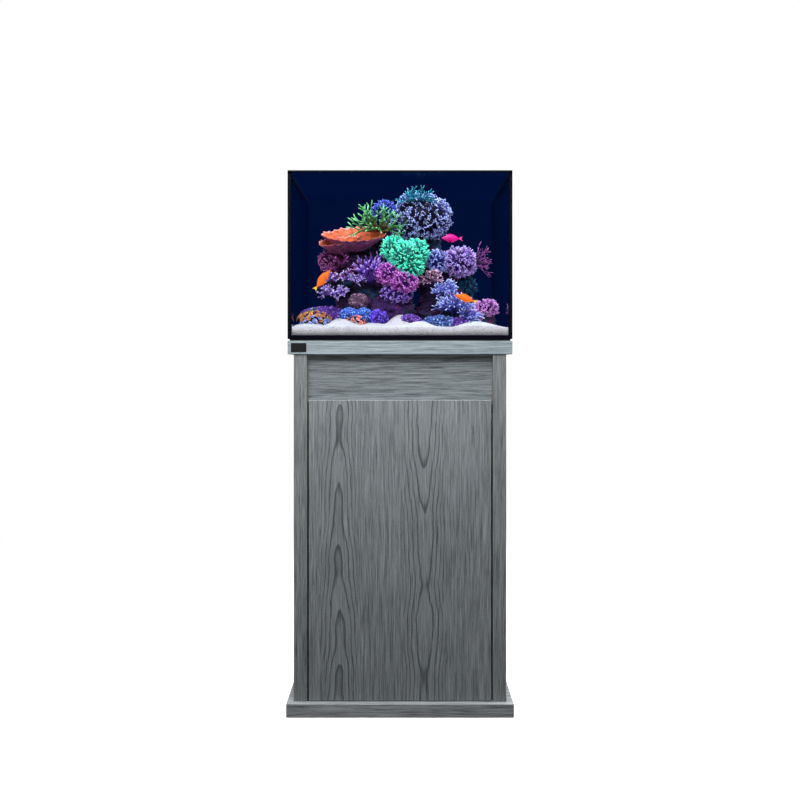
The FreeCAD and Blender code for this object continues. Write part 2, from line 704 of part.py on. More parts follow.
def sump():
    foot = sump_floor_z()
    right = S.return_x + S.sump_right
    left = right - S.sump_width
    back = rear - S.back_board - S.sump_behind
    front = back - S.sump_depth
    top = foot + S.sump_height
    g = S.sump_glass
    floor = foot + g
    node(block("sump_mat", (left, right), (front, back), (foot - S.sump_mat, foot)))
    node(fuse("sump_tank", [
        block("sump_floor", (left, right), (front, back), (foot, floor)),
        block("sump_front", (left, right), (front, front + g), (floor, top)),
        block("sump_rear", (left, right), (back - g, back), (floor, top)),
        block("sump_left", (left, left + g), (front + g, back - g), (floor, top)),
        block("sump_end", (right - g, right), (front + g, back - g), (floor, top))]))
    trap = S.return_x - S.return_radius - 6 - S.trap_gap * 2 - g * 3
    inside = (front + g, back - g)
    baffles = []
    for k, (low, high) in enumerate(((floor, floor + S.baffle_low),
                                     (floor + S.baffle_lift, floor + S.baffle_low + S.baffle_lift),
                                     (floor, floor + S.baffle_low))):
        at = trap + (g + S.trap_gap) * k
        baffles.append(block(f"baffle{k}", (at, at + g), inside, (low, high)))
    node(fuse("sump_baffles", baffles))

    sock_y = back - g - S.sock_radius - 6
    plate_low = top - 20
    shelf = block("sock_shelf", (left + g, trap - 1), (sock_y - S.sock_radius - 12, back - g),
                  (plate_low, plate_low + g))
    holes = [rod("sock_hole", S.sock_radius + 1.5, S.drain_x, sock_y, plate_low - 1, g + 2),
             rod("drain_hole", S.pipe_radius + 2, S.emergency_x, pipe_y, plate_low - 1, g + 2)]
    node(cut("sock_holder", shelf, holes))
    ring_low = plate_low + g + 0.3
    sock_wall = 2.5
    sock_low = ring_low - S.sock_length
    node(cut("filter_sock", fuse("sock_solid", [
        rod("sock_ring", S.sock_radius + 5, S.drain_x, sock_y, ring_low, Size.of(8)),
        rod("sock_bag", S.sock_radius, S.drain_x, sock_y, sock_low, S.sock_length)]),
        [rod("sock_inside", S.sock_radius - sock_wall, S.drain_x, sock_y, sock_low + sock_wall,
             S.sock_length + 12)]))

    skim_x = left + g + S.skimmer_radius + 14
    skim_y = front + g + S.skimmer_radius + 40
    skim_top = floor + S.skimmer_height
    neck = S.skimmer_radius * 0.5
    wall = 3
    node(turned("skimmer_body", skim_x, skim_y, [
        (0, floor), (S.skimmer_radius + 6, floor), (S.skimmer_radius + 6, floor + 10),
        (S.skimmer_radius, floor + 10), (S.skimmer_radius, skim_top - 70), (neck, skim_top - 24),
        (neck, skim_top), (neck - wall, skim_top), (neck - wall, skim_top - 26),
        (S.skimmer_radius - wall, skim_top - 72), (S.skimmer_radius - wall, floor + 10), (0, floor + 10)]))
    cup_low = skim_top - 20
    slip = neck + 0.5
    node(turned("skimmer_cup", skim_x, skim_y, [
        (slip, cup_low), (S.cup_radius, cup_low), (S.cup_radius, cup_low + S.cup_height),
        (0, cup_low + S.cup_height), (0, cup_low + S.cup_height - 4),
        (S.cup_radius - wall, cup_low + S.cup_height - 4), (S.cup_radius - wall, cup_low + wall),
        (slip + wall, cup_low + wall), (slip + wall, cup_low + S.cup_height - 26),
        (slip, cup_low + S.cup_height - 26)]))
    pump_y = skim_y + S.skimmer_radius + 8
    node(fuse("skimmer_pump", [
        rod("skimmer_motor", 19, skim_x, pump_y, floor + 27, Size.of(58), "y"),
        rod("skimmer_volute", 25, skim_x, pump_y, floor + 27, Size.of(14), "y"),
        block("skimmer_foot", (skim_x - 20, skim_x + 20), (pump_y, pump_y + 56), (floor, floor + 9))]))

    pump_x = S.return_x + S.return_radius + 8
    spin_z = floor + 42
    node(fuse("return_pump", [
        rod("pump_volute", 34, pump_x, pipe_y - 14, spin_z, Size.of(28), "y"),
        rod("pump_motor", 27, pump_x, pipe_y - 96, spin_z, Size.of(84), "y"),
        rod("pump_intake", 17, pump_x, pipe_y - 116, spin_z, Size.of(22), "y"),
        rod("pump_outlet", S.return_radius, S.return_x, pipe_y, spin_z, floor + 100 - spin_z),
        block("pump_foot", (pump_x - 28, pump_x + 28), (pipe_y - 90, pipe_y + 8), (floor, floor + 12))]))

    tub_left = right + S.reservoir_gap
    tub_foot = S.plinth + S.board
    tub_top = tub_foot + S.reservoir_height
    p = S.plastic
    tub = (tub_left, tub_left + S.reservoir_width)
    node(cut("topup_reservoir", block("reservoir_out", tub, (front, back), (tub_foot, tub_top)),
             [block("reservoir_in", (tub[0] + p, tub[1] - p), (front + p, back - p),
                    (tub_foot + p, tub_top + 1))]))


# ---------------------------------------------------------------- reef

def reef():
    """Rock and corals as plain closed lumps, placed from the middle of the sand's surface."""
    ground = (tank_floor + S.sand).value
    middle_y = ((glass_front + glass_rear - S.weir_depth) / 2).value
    rocks = [("rock_left", (-78, 22, 58), (72, 78, 56)),
             ("rock_right", (118, 26, 52), (70, 74, 50)),
             ("rock_centre", (10, 50, 210), (84, 50, 92))]
    corals = [("coral_orange_cup", (-140, -2, 250), (92, 74, 26)),
              ("coral_green_branch", (-72, 8, 326), (72, 42, 34)),
              ("coral_lilac_bush", (86, -24, 318), (66, 44, 66)),
              ("coral_mint_dome", (12, -58, 232), (58, 42, 46)),
              ("coral_right_bush", (182, 2, 214), (76, 46, 36)),
              ("coral_blue_column", (140, -92, 108), (44, 34, 54))]
    for table, sides in ((rocks, 10), (corals, 12)):
        for seed, (name, place, radii) in enumerate(table):
            centre = (place[0], middle_y + place[1], ground + place[2])
            node(boulder(name, centre, radii, sides, seed))


# ---------------------------------------------------------------- build

cabinet()
carcass_screws()
door()
hinge()
push_latch()
tank()
weir()
bulkheads()
pipes()
return_nozzle()
sump()
reef()
doc.recompute()

faults = [obj.Name for obj in doc.Objects if {"Invalid", "Error"} & set(obj.State)]
for obj in nodes:
    obj.Label = obj.Name
    if obj.Shape.isNull() or not obj.Shape.isValid() or obj.Shape.Volume <= 0:
        faults.append(obj.Name)
if faults:
    raise RuntimeError(f"these did not build: {sorted(set(faults))}")

os.makedirs("parts", exist_ok=True)
for obj in nodes:
    obj.Shape.exportStep(f"parts/{obj.Label}.step")
print(f"{len(nodes)} nodes written")
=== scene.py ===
import math
import random

import bmesh
import bpy
from mathutils import Matrix, Vector, noise


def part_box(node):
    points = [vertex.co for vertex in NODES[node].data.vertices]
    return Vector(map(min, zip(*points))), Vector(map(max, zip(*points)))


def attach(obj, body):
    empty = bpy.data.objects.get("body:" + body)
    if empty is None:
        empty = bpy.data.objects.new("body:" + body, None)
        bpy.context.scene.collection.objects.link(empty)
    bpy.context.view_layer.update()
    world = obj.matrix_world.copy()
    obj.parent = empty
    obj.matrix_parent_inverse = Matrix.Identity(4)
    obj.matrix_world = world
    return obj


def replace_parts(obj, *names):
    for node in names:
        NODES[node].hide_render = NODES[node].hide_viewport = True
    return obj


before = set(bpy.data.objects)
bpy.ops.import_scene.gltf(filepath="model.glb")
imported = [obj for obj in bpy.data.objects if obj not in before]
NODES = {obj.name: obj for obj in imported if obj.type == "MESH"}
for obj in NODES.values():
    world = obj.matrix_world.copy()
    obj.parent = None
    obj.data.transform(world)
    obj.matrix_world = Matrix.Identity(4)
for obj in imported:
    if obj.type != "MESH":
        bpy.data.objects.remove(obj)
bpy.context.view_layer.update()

scene = bpy.context.scene

# ---------------------------------------------------------------- places, in metres

PLINTH_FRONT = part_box("plinth")[0].y
pane_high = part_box("tank_front_pane")[1]
sand_low, sand_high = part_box("sand_bed")
weir_low, weir_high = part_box("weir_box")

WATER_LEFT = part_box("tank_left_pane")[1].x
WATER_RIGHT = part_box("tank_right_pane")[0].x
WATER_FRONT = pane_high.y
WATER_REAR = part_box("tank_rear_pane")[0].y
RIM = pane_high.z
RIM_BAND = 0.0046  # height of the dark band along the rim
WATER_LEVEL = RIM - 0.0016
REEF_Y = (WATER_FRONT + weir_low.y) / 2
GROUND = sand_high.z
FOOT_RISE = 0.0166  # height of the reef's foot above the level bed, in the middle
FOOT_SLOPE = 0.075  # rise of the reef's foot to the rear


# ---------------------------------------------------------------- shader maths

class Signal:
    """A socket's number; arithmetic on it adds Math nodes."""

    def __init__(self, finish, socket):
        self.finish = finish
        self.socket = socket

    def math(self, operation, *others):
        numbers = dict(enumerate((self, *others)))
        return self.finish.signal("ShaderNodeMath", {"operation": operation}, numbers)

    def __add__(self, other):
        return self.math("ADD", other)

    def __sub__(self, other):
        return self.math("SUBTRACT", other)

    def __mul__(self, other):
        return self.math("MULTIPLY", other)

    def __truediv__(self, other):
        return self.math("DIVIDE", other)

    def __pow__(self, other):
        return self.math("POWER", other)

    def __abs__(self):
        return self.math("ABSOLUTE")

    def __rsub__(self, other):
        return self.finish.signal("ShaderNodeMath", {"operation": "SUBTRACT"}, {0: other, 1: self})

    __radd__ = __add__
    __rmul__ = __mul__

    def clamp(self, low, high):
        return self.math("MAXIMUM", low).math("MINIMUM", high)

    def smooth(self, low, high):
        """0 below low, 1 above high, with a soft change between."""
        return self.finish.signal("ShaderNodeMapRange", {"interpolation_type": "SMOOTHSTEP"},
                                  {"Value": self, "From Min": low, "From Max": high})


class Finish:
    """A node material and the ways to build it up."""

    def __init__(self, name):
        self.material = bpy.data.materials.new(name)
        self.material.use_nodes = True
        self.tree = self.material.node_tree
        self.tree.nodes.clear()
        self.output = self.tree.nodes.new("ShaderNodeOutputMaterial")

    def add(self, kind, settings=None, sockets=None):
        """Any node: its settings first, then the values or links of its sockets."""
        made = self.tree.nodes.new(kind)
        for key, value in (settings or {}).items():
            setattr(made, key, value)
        for key, value in (sockets or {}).items():
            socket = made.inputs[key]
            if isinstance(value, Signal):
                self.tree.links.new(value.socket, socket)
            elif isinstance(value, bpy.types.NodeSocket):
                self.tree.links.new(value, socket)
            elif socket.type == "RGBA" and len(value) == 3:
                socket.default_value = (*value, 1)
            else:
                socket.default_value = value
        return made

    def signal(self, kind, settings, sockets, output=0):
        return Signal(self, self.add(kind, settings, sockets).outputs[output])

    def principled(self, **sockets):
        """The Principled shader by itself; its sockets are named in small letters with underscores."""
        named = {key.replace("_", " ").title().replace("Ior", "IOR"): value for key, value in sockets.items()}
        self.surface(self.add("ShaderNodeBsdfPrincipled", None, named).outputs[0])

    def surface(self, shader):
        self.tree.links.new(shader, self.output.inputs[0])

    def blend(self, factor, first, second):
        """A shader between two others."""
        return self.add("ShaderNodeMixShader", None, {0: factor, 1: first, 2: second}).outputs[0]

    def glow(self, colour, strength):
        return self.add("ShaderNodeEmission", None, {"Color": colour, "Strength": strength}).outputs[0]

    def clear(self, colour):
        return self.add("ShaderNodeBsdfTransparent", None, {"Color": colour}).outputs[0]

    def mirror(self, colour, roughness):
        return self.add("ShaderNodeBsdfGlossy", None, {"Color": colour, "Roughness": roughness}).outputs[0]

    def place(self):
        """Object-space position, as a vector socket."""
        return self.add("ShaderNodeTexCoord").outputs["Object"]

    def split(self, vector):
        made = self.add("ShaderNodeSeparateXYZ", None, {0: vector})
        return [Signal(self, made.outputs[k]) for k in range(3)]

    def join(self, x, y, z):
        return self.add("ShaderNodeCombineXYZ", None, {0: x, 1: y, 2: z}).outputs[0]

    def noise(self, vector, scale, detail=2.0, rough=0.5):
        return self.signal("ShaderNodeTexNoise", None,
                           {"Vector": vector, "Scale": scale, "Detail": detail, "Roughness": rough})

    def cells(self, vector, scale):
        """Distance from the middle of the nearest cell, in cells."""
        return self.signal("ShaderNodeTexVoronoi", {"feature": "F1"}, {"Vector": vector, "Scale": scale})

    def reach(self):
        """The number that a piece keeps at each point: 0 at its root, 1 at its tips."""
        return self.signal("ShaderNodeAttribute", {"attribute_name": "reach"}, None, "Fac")

    def mix(self, factor, first, second):
        """A colour between two others."""
        made = self.add("ShaderNodeMix", {"data_type": "RGBA"}, {0: factor, 6: first, 7: second})
        return made.outputs[2]

    def tint(self, colour, amount):
        """A colour scaled by a number."""
        made = self.add("ShaderNodeVectorMath", {"operation": "SCALE"}, {0: colour, "Scale": amount})
        return made.outputs[0]

    def bump(self, height, distance, strength):
        return self.add("ShaderNodeBump", None,
                        {"Height": height, "Distance": distance, "Strength": strength}).outputs[0]


def dress(finish, *names):
    """Gives nodes of the frame a finish in place of their plain one."""
    for name in names:
        slots = NODES[name].material_slots
        if not slots:
            NODES[name].data.materials.append(finish.material)
        for slot in slots:
            slot.material = finish.material


# ---------------------------------------------------------------- camera, light and floor

VIEW_DISTANCE = 2.65
EYE_HEIGHT = 0.9353
SENSOR = 36.0
LENS = 45.0
HORIZON_DROP = -0.04375
DOME_RADIUS = 9.0
FLOOR_RADIUS = 8.5
FAR_LIMIT = 100.0
WHITE = (1, 1, 1)


def camera():
    """Straight at the front, level, a little under the worktop's height."""
    data = bpy.data.cameras.new("camera")
    data.sensor_width = SENSOR
    data.lens = LENS
    data.shift_y = HORIZON_DROP
    data.clip_end = FAR_LIMIT
    eye = bpy.data.objects.new("camera", data)
    eye.location = (0, PLINTH_FRONT - VIEW_DISTANCE, EYE_HEIGHT)
    eye.rotation_euler = (math.pi / 2, 0, 0)
    scene.collection.objects.link(eye)
    scene.camera = eye


def area_light(name, place, aim, size, power, colour=WHITE):
    data = bpy.data.lights.new(name, "AREA")
    data.shape = "RECTANGLE"
    data.size, data.size_y = size
    data.energy = power
    data.color = colour
    lamp = bpy.data.objects.new(name, data)
    lamp.location = place
    lamp.visible_camera = False
    lamp.rotation_euler = (Vector(aim) - Vector(place)).to_track_quat("-Z", "Y").to_euler()
    scene.collection.objects.link(lamp)


def backdrop(name, points, faces, finish):
    """A part of the studio: it is seen, but lights nothing, shows in no mirror and casts no shadow."""
    mesh = bpy.data.meshes.new(name)
    mesh.from_pydata(points, [], faces)
    mesh.materials.append(finish.material)
    piece = bpy.data.objects.new(name, mesh)
    piece.visible_diffuse = False
    piece.visible_glossy = False
    piece.visible_shadow = False
    scene.collection.objects.link(piece)


def unit_ball(detail):
    """Points and triangles of a ball of radius 1."""
    ball = bmesh.new()
    bmesh.ops.create_icosphere(ball, subdivisions=detail, radius=1.0)
    points = [vertex.co.normalized() for vertex in ball.verts]
    faces = [tuple(v.index for v in face.verts) for face in ball.faces]
    ball.free()
    return points, faces


def studio_dome():
    """A white dome around everything."""
    white = Finish("studio_white")
    white.surface(white.glow(WHITE, 1.0))
    points, faces = unit_ball(5)
    backdrop("studio_dome", [point * DOME_RADIUS for point in points], faces, white)


def studio_floor():
    """A pale round floor that turns into the white of the dome further out."""
    ground = Finish("studio_floor")
    x, y, _ = ground.split(ground.place())
    far = ((x * x + y * y) ** 0.5).smooth(0.9, 3.2)
    paint = ground.add("ShaderNodeBsdfDiffuse", None, {"Color": (0.85, 0.86, 0.87)}).outputs[0]
    near = ground.add("ShaderNodeAddShader", None, {0: paint, 1: ground.glow(WHITE, 0.42)}).outputs[0]
    ground.surface(ground.blend(far, near, ground.glow(WHITE, 1.0)))
    corners = 96
    turns = [2 * math.pi * k / corners for k in range(corners)]
    points = [(FLOOR_RADIUS * math.cos(turn), FLOOR_RADIUS * math.sin(turn), 0.0) for turn in turns]
    backdrop("studio_ground", points, [tuple(range(corners))], ground)


def studio():
    """Soft light from above, the front, both sides and the rear, in pale air."""
    world = bpy.data.worlds.new("studio_air")
    world.use_nodes = True
    air = world.node_tree.nodes["Background"]
    air.inputs["Color"].default_value = (0.9, 0.95, 1.0, 1)
    air.inputs["Strength"].default_value = 0.085
    scene.world = world
    scene.view_settings.view_transform = "Standard"
    area_light("key_softbox", (-0.25, -1.34, 2.44), (0, 0, 0.90), (1.5, 1.7), 78)
    area_light("front_strip", (0.10, -1.25, 1.85), (0, -0.24, 0.85), (1.0, 0.12), 6)
    area_light("low_strip", (0, -1.0, 0.93), (0, -0.24, 0.95), (1.0, 0.06), 1.1)
    middle = (0, 0, 0.8)
    area_light("fill_right", (2.4, 0.1, 1.7), middle, (1.2, 1.8), 48)
    area_light("fill_left", (-2.4, 0.1, 1.7), middle, (1.2, 1.8), 42)
    area_light("rear_softbox", (0.5, 2.1, 2.1), middle, (1.6, 1.2), 62)
    area_light("tank_softbox", (0, REEF_Y - 0.05, RIM + 0.55), (0, REEF_Y, GROUND), (0.5, 0.36), 15,
               (0.66, 0.76, 1.0))
    studio_dome()
    studio_floor()


# ---------------------------------------------------------------- board finishes

def face_axes(finish):
    """Position, then how far the surface faces sideways and how far it faces up."""
    coordinates = finish.add("ShaderNodeTexCoord")
    x, y, z = finish.split(coordinates.outputs["Object"])
    nx, _, nz = finish.split(coordinates.outputs["Normal"])
    return x, y, z, abs(nx).smooth(0.5, 0.7), abs(nz).smooth(0.5, 0.7)


RING_RISE = 0.17  # distance from one arch to the next up the board


def flat_sawn(finish, across, along, column, seed):
    """Growth rings sawn on the flat, about one line of the board: how dark, and where they are.

    column holds the line's place, its half-width, +1 for arches that point up or -1 for down, the height
    under which the rings close into long loops instead, and how far the figure is moved up.
    """
    middle, width, turn, loops_below, moved = column
    drift = finish.noise(finish.join(across * 7, along * 2.6, seed), 1.0, 2.0) - 0.5
    ragged = finish.noise(finish.join(across * 60, along * 24, seed + 1), 1.0, 2.0) - 0.5
    offset = across - middle + drift * 0.030 + ragged * 0.006
    arch = (offset * offset + 0.0010) ** 0.5 - 0.0316
    wave = finish.noise(finish.join(0.0, along * 6.5, seed + 2), 1.0, 1.0) - 0.5
    rise = (along.math("MAXIMUM", loops_below) - moved) * turn + wave * 0.30
    rings = ((arch * 21 + rise) / RING_RISE).math("FRACT")
    late = rings.smooth(0.58, 0.93) ** 1.4 * (1 - rings.smooth(0.95, 1.0))
    near = 1 - abs(offset).smooth(width * 0.55, width)
    return late * near, near


def board(name, light, dark, upright, columns, seed, emboss=0.00025, contrast=1.0, lift=0.0, edge_shade=0.0):
    """Embossed wood-grain melamine: straight grain with long pores, and flat-sawn columns if given.

    lift paints a highlight on the faces that look up; edge_shade paints shade on the sideways edges.
    """
    finish = Finish(name)
    x, y, z, side, flat = face_axes(finish)
    if upright:
        across = x * (1 - side) + y * side
        along = z + flat * (y - z)
    else:
        along = x * (1 - side) + y * side
        across = z * (1 - flat) + y * flat
    pull = finish.noise(finish.join(across * 9, along * 2.0, seed), 1.0, 2.0) * 0.02
    thread = across + pull
    fibres = finish.noise(finish.join(thread * 330, along * 9, seed + 7), 1.0, 3.0, 0.7) - 0.5
    streaks = finish.noise(finish.join(thread * 120, along * 3.2, seed + 3), 1.0, 3.0, 0.6) - 0.5
    pores = finish.noise(finish.join(thread * 620, along * 15, seed + 5), 1.0, 2.0, 0.6).smooth(0.55, 0.68)
    broad = finish.noise(finish.join(across * 5, along * 1.6, seed + 9), 1.0, 2.0) - 0.5
    ticks = finish.noise(finish.join(across * 260, along * 420, seed + 11), 1.0, 2.0) - 0.5
    tone = 0.58 + (fibres * 2.3 + streaks * 0.95 + ticks * 0.6 + broad * 0.28 - pores * 0.28) * contrast
    height = fibres * 1.2 + streaks * 0.8 - pores * 0.9
    for k, column in enumerate(columns):
        late, near = flat_sawn(finish, across, along, column, seed + 20 * (k + 1))
        tone = tone - late * 0.62 - (fibres + streaks * 0.8) * near * 0.7 + near * 0.06
        height = height - late * 0.8
    tone = tone.clamp(0.0, 1.0)
    # Painted light: a painted highlight on faces that look up, painted shade on the sideways edges.
    colour = finish.tint(finish.mix(tone, dark, light), (1 + flat * lift) * (1 - side * edge_shade))
    finish.principled(base_color=colour, roughness=0.52 + pores * 0.2 - tone * 0.06,
                      normal=finish.bump(height, emboss, 0.9), specular_ior_level=0.35)
    return finish


# ---------------------------------------------------------------- other finishes

def clear_water():
    """Water surface: clear when looked down on; at a low angle a painted reflection, a glowing deep blue,
    with a faint blurred mirror.
    """
    finish = Finish("water_skin")
    cloud = finish.noise(finish.place(), 5.0)
    # Painted reflection: the deep blue glow stands in for the water mirroring the dark blue tank at a low
    # angle.
    deep = finish.glow(finish.mix(cloud, (0.0, 0.0040, 0.034), (0.0002, 0.0064, 0.044)), 1.0)
    skin = finish.blend(0.985, finish.mirror((0.9, 0.95, 1.0), 0.14), deep)
    low_angle = finish.signal("ShaderNodeFresnel", None, {"IOR": 1.1})
    finish.surface(finish.blend(low_angle, finish.clear((0.93, 0.97, 1.0)), skin))
    return finish


MIRROR_LIMIT = 0.3
SEALED_EDGE = (0.0015, 0.002, 0.004)


def clear_sheet(name, tint, gloss=0.0, bend=1.1, thin_along=None):
    """Glass that lets light straight through, and mirrors at a low angle, most of all seen from inside.

    thin_along is the axis, 0 or 1, across a pane; its bonded edges and a band at the rim are then black.
    """
    finish = Finish(name)
    clear = finish.clear(tint)
    mirror = finish.mirror((0.95, 0.97, 1.0), 0.015)
    low_angle = finish.signal("ShaderNodeFresnel", None, {"IOR": bend})
    share = (low_angle + gloss).clamp(0.0, MIRROR_LIMIT)
    if thin_along is None:
        finish.surface(finish.blend(share, clear, mirror))
        return finish
    place = finish.place()
    position = finish.split(place)
    facing = finish.split(finish.add("ShaderNodeTexCoord").outputs["Normal"])[thin_along]
    from_inside = (facing * position[thin_along]).math("LESS_THAN", 0.0)
    share = share + (low_angle - share) * from_inside
    streak = finish.noise(place, 300.0)
    band_foot = RIM - RIM_BAND
    below_band = 1 - position[2].smooth(band_foot, band_foot + 0.0003)
    sealed = finish.add("ShaderNodeBsdfPrincipled", None,
                        {"Base Color": finish.tint(SEALED_EDGE, 0.8 + streak * 0.4), "Roughness": 0.6,
                         "Specular IOR Level": 0.05}).outputs[0]
    glass = finish.blend(share, clear, mirror)
    finish.surface(finish.blend(abs(facing).smooth(0.45, 0.55) * below_band, sealed, glass))
    return finish


def backed_glass(name="navy_backed_glass", depth=1.0):
    """A dark blue coat with faint streaks; it has a faint painted glow, navy emission that stands in for lit
    blue water.
    """
    finish = Finish(name)
    place = finish.place()
    cloud = finish.noise(place, 3.0, 3.0)
    speck = finish.noise(place, 240.0)
    tone = (cloud * 0.7 + speck * 0.3).clamp(0.0, 1.0)
    # Painted glow: the navy emission, scaled by depth, brightens the coat under no lamp.
    finish.principled(base_color=finish.mix(tone, (0.0001, 0.0004, 0.0012), (0.0002, 0.0006, 0.0020)),
                      emission_color=finish.mix(tone, (0.0, 0.0036, 0.030), (0.0002, 0.0058, 0.039)),
                      emission_strength=0.9 * depth, roughness=0.55 + speck * 0.1, specular_ior_level=0.0)
    return finish


def moulded(name, colour, roughness, grain=900.0, depth=0.00004, tone=0.12, gloss=0.5):
    """Moulded or coated surface with a fine texture and slightly uneven colour."""
    finish = Finish(name)
    place = finish.place()
    fine = finish.noise(place, grain, 3.0)
    cloud = finish.noise(place, 14.0, 3.0)
    shade = 1 + (cloud - 0.5) * tone * 2
    finish.principled(base_color=finish.tint(colour, shade),
                      roughness=(roughness + (cloud - 0.5) * 0.14).clamp(0.03, 1.0),
                      normal=finish.bump(fine, depth, 0.6), specular_ior_level=gloss)
    return finish


def foam():
    """Black closed-cell foam."""
    finish = Finish("black_cell_foam")
    place = finish.place()
    cells = finish.cells(place, 1400.0)
    cloud = finish.noise(place, 40.0)
    finish.principled(base_color=finish.mix(cells, (0.004, 0.004, 0.0045), (0.018, 0.018, 0.019)),
                      roughness=0.86 + cloud * 0.1, normal=finish.bump(cells, 0.0003, 0.8))
    return finish


def brushed(name, colour, roughness, along=2):
    """Drawn or plated metal with fine lines along one axis."""
    finish = Finish(name)
    axes = finish.split(finish.place())
    stretched = [axis * (12 if k == along else 1500) for k, axis in enumerate(axes)]
    lines = finish.noise(finish.join(*stretched), 1.0, 2.0)
    cloud = finish.noise(finish.place(), 60.0, 3.0)
    finish.principled(base_color=finish.tint(colour, 0.85 + lines * 0.3), metallic=1.0,
                      roughness=(roughness + (lines - 0.5) * 0.18 + (cloud - 0.5) * 0.1).clamp(0.05, 1.0),
                      normal=finish.bump(lines, 0.00003, 0.5))
    return finish


def needled_felt():
    """White filter felt, stained here and there."""
    finish = Finish("white_needled_felt")
    place = finish.place()
    fluff = finish.noise(place, 1100.0, 4.0, 0.7)
    stain = finish.noise(place, 22.0, 3.0)
    finish.principled(base_color=finish.mix(stain.smooth(0.45, 0.8), (0.78, 0.78, 0.74), (0.52, 0.47, 0.36)),
                      roughness=0.95, sheen_weight=0.4, normal=finish.bump(fluff, 0.0008, 1.0))
    return finish


def coral_sand():
    """Pale grey shell grit: grains of several tones with the odd dark one."""
    finish = Finish("coral_sand")
    place = finish.place()
    grains = finish.add("ShaderNodeTexVoronoi", {"feature": "F1"}, {"Vector": place, "Scale": 620.0})
    red, green, blue = finish.split(grains.outputs["Color"])
    patch = finish.noise(place, 18.0, 3.0)
    tone = (red * 0.6 + patch * 0.7 - 0.15).clamp(0.0, 1.0)
    pale = finish.mix(tone, (0.28, 0.262, 0.250), (0.59, 0.555, 0.520))
    dark = finish.mix(green.smooth(0.93, 0.98), pale, (0.14, 0.12, 0.12))
    colour = finish.mix(blue.smooth(0.95, 0.99), dark, (0.34, 0.22, 0.17))
    dome = 1 - Signal(finish, grains.outputs["Distance"])
    finish.principled(base_color=colour, roughness=0.85 + patch * 0.1, normal=finish.bump(dome, 0.0010, 0.8))
    return finish


def living_rock(name, growth):
    """Porous rock under violet, wine and blue-green crusts, with painted shade in its pits."""
    finish = Finish(name)
    place = finish.place()
    big = finish.noise(place, 16.0, 4.0, 0.6)
    crust = finish.noise(place, 44.0, 4.0, 0.65)
    fine = finish.noise(place, 260.0, 4.0, 0.7)
    pits = finish.cells(place, 170.0)
    bare = finish.mix(fine.smooth(0.35, 0.65), (0.006, 0.004, 0.012), (0.045, 0.028, 0.070))
    violet = finish.mix(fine.smooth(0.30, 0.70), (0.005, 0.0012, 0.018), (0.056, 0.015, 0.115))
    wine = finish.mix(crust, (0.03, 0.002, 0.03), (0.18, 0.02, 0.13))
    sea = finish.mix(fine, (0.002, 0.010, 0.030), (0.03, 0.10, 0.20))
    colour = finish.mix((big.smooth(0.40, 0.60) * growth * 2).clamp(0.0, 1.0), bare, violet)
    colour = finish.mix(crust.smooth(0.57, 0.66), colour, wine)
    colour = finish.mix((1 - big).smooth(0.56, 0.66), colour, sea)
    # Painted shade: the pits, the hollows of the bump, are painted near black.
    colour = finish.mix(pits.smooth(0.02, 0.34), (0.002, 0.001, 0.006), colour)
    finish.principled(base_color=colour, roughness=0.82, normal=finish.bump(fine * 0.5 + pits, 0.0026, 1.0),
                      specular_ior_level=0.2)
    return finish


def coral_skin(name, deep, body, tip, polyp=0.0022, glow=0.03, tip_from=0.80):
    """Coral tissue: dark towards the root, pale at growing tips, pricked with polyps whose cups carry painted
    shade, with a faint painted glow.
    """
    finish = Finish(name)
    place = finish.place()
    cups = finish.cells(place, 1 / polyp)
    patch = finish.noise(place, 32.0, 3.0)
    blotch = finish.noise(place, 75.0, 3.0)
    fine = finish.noise(place, 700.0)
    level = (finish.reach() + (patch - 0.5) * 0.35).clamp(0.0, 1.0)
    colour = finish.mix(level.smooth(0.05, 0.62), deep, body)
    colour = finish.mix(level.smooth(tip_from, 1.0), colour, tip)
    # Painted shade: the polyp cups, the hollows of the bump, are darkened.
    colour = finish.mix(cups.smooth(0.08, 0.34) * 0.6 + 0.4, finish.tint(colour, 0.25), colour)
    colour = finish.tint(colour, 0.38 + fine * 0.32 + blotch.smooth(0.3, 0.7) * 0.75)
    height = cups.smooth(0.05, 0.45) + fine * 0.2
    # Painted glow: the emission stands in for the corals' fluorescence under blue light and lifts their
    # shaded undersides.
    finish.principled(base_color=colour, roughness=0.55 + fine * 0.2, emission_color=colour,
                      emission_strength=glow, normal=finish.bump(height, polyp * 0.45, 0.9),
                      specular_ior_level=0.18)
    return finish


# ---------------------------------------------------------------- mesh makers

def new_piece(name, points, faces, finish, reach=None, solid=True):
    """A smooth mesh piece that rides on the stand; reach is 0 at a coral's root and 1 at its tips."""
    mesh = bpy.data.meshes.new(name)
    mesh.from_pydata(points, [], faces)
    mesh.validate()
    if solid:
        skin = bmesh.new()
        skin.from_mesh(mesh)
        bmesh.ops.recalc_face_normals(skin, faces=skin.faces)
        skin.to_mesh(mesh)
        skin.free()
    mesh.polygons.foreach_set("use_smooth", [True] * len(mesh.polygons))
    if reach is not None:
        mesh.attributes.new("reach", "FLOAT", "POINT").data.foreach_set("value", reach)
    mesh.materials.append(finish.material)
    piece = bpy.data.objects.new(name, mesh)
    scene.collection.objects.link(piece)
    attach(piece, "stand")
    return piece


def around(across, up, turn):
    """A direction in the plane of across and up."""
    return across * math.cos(turn) + up * math.sin(turn)


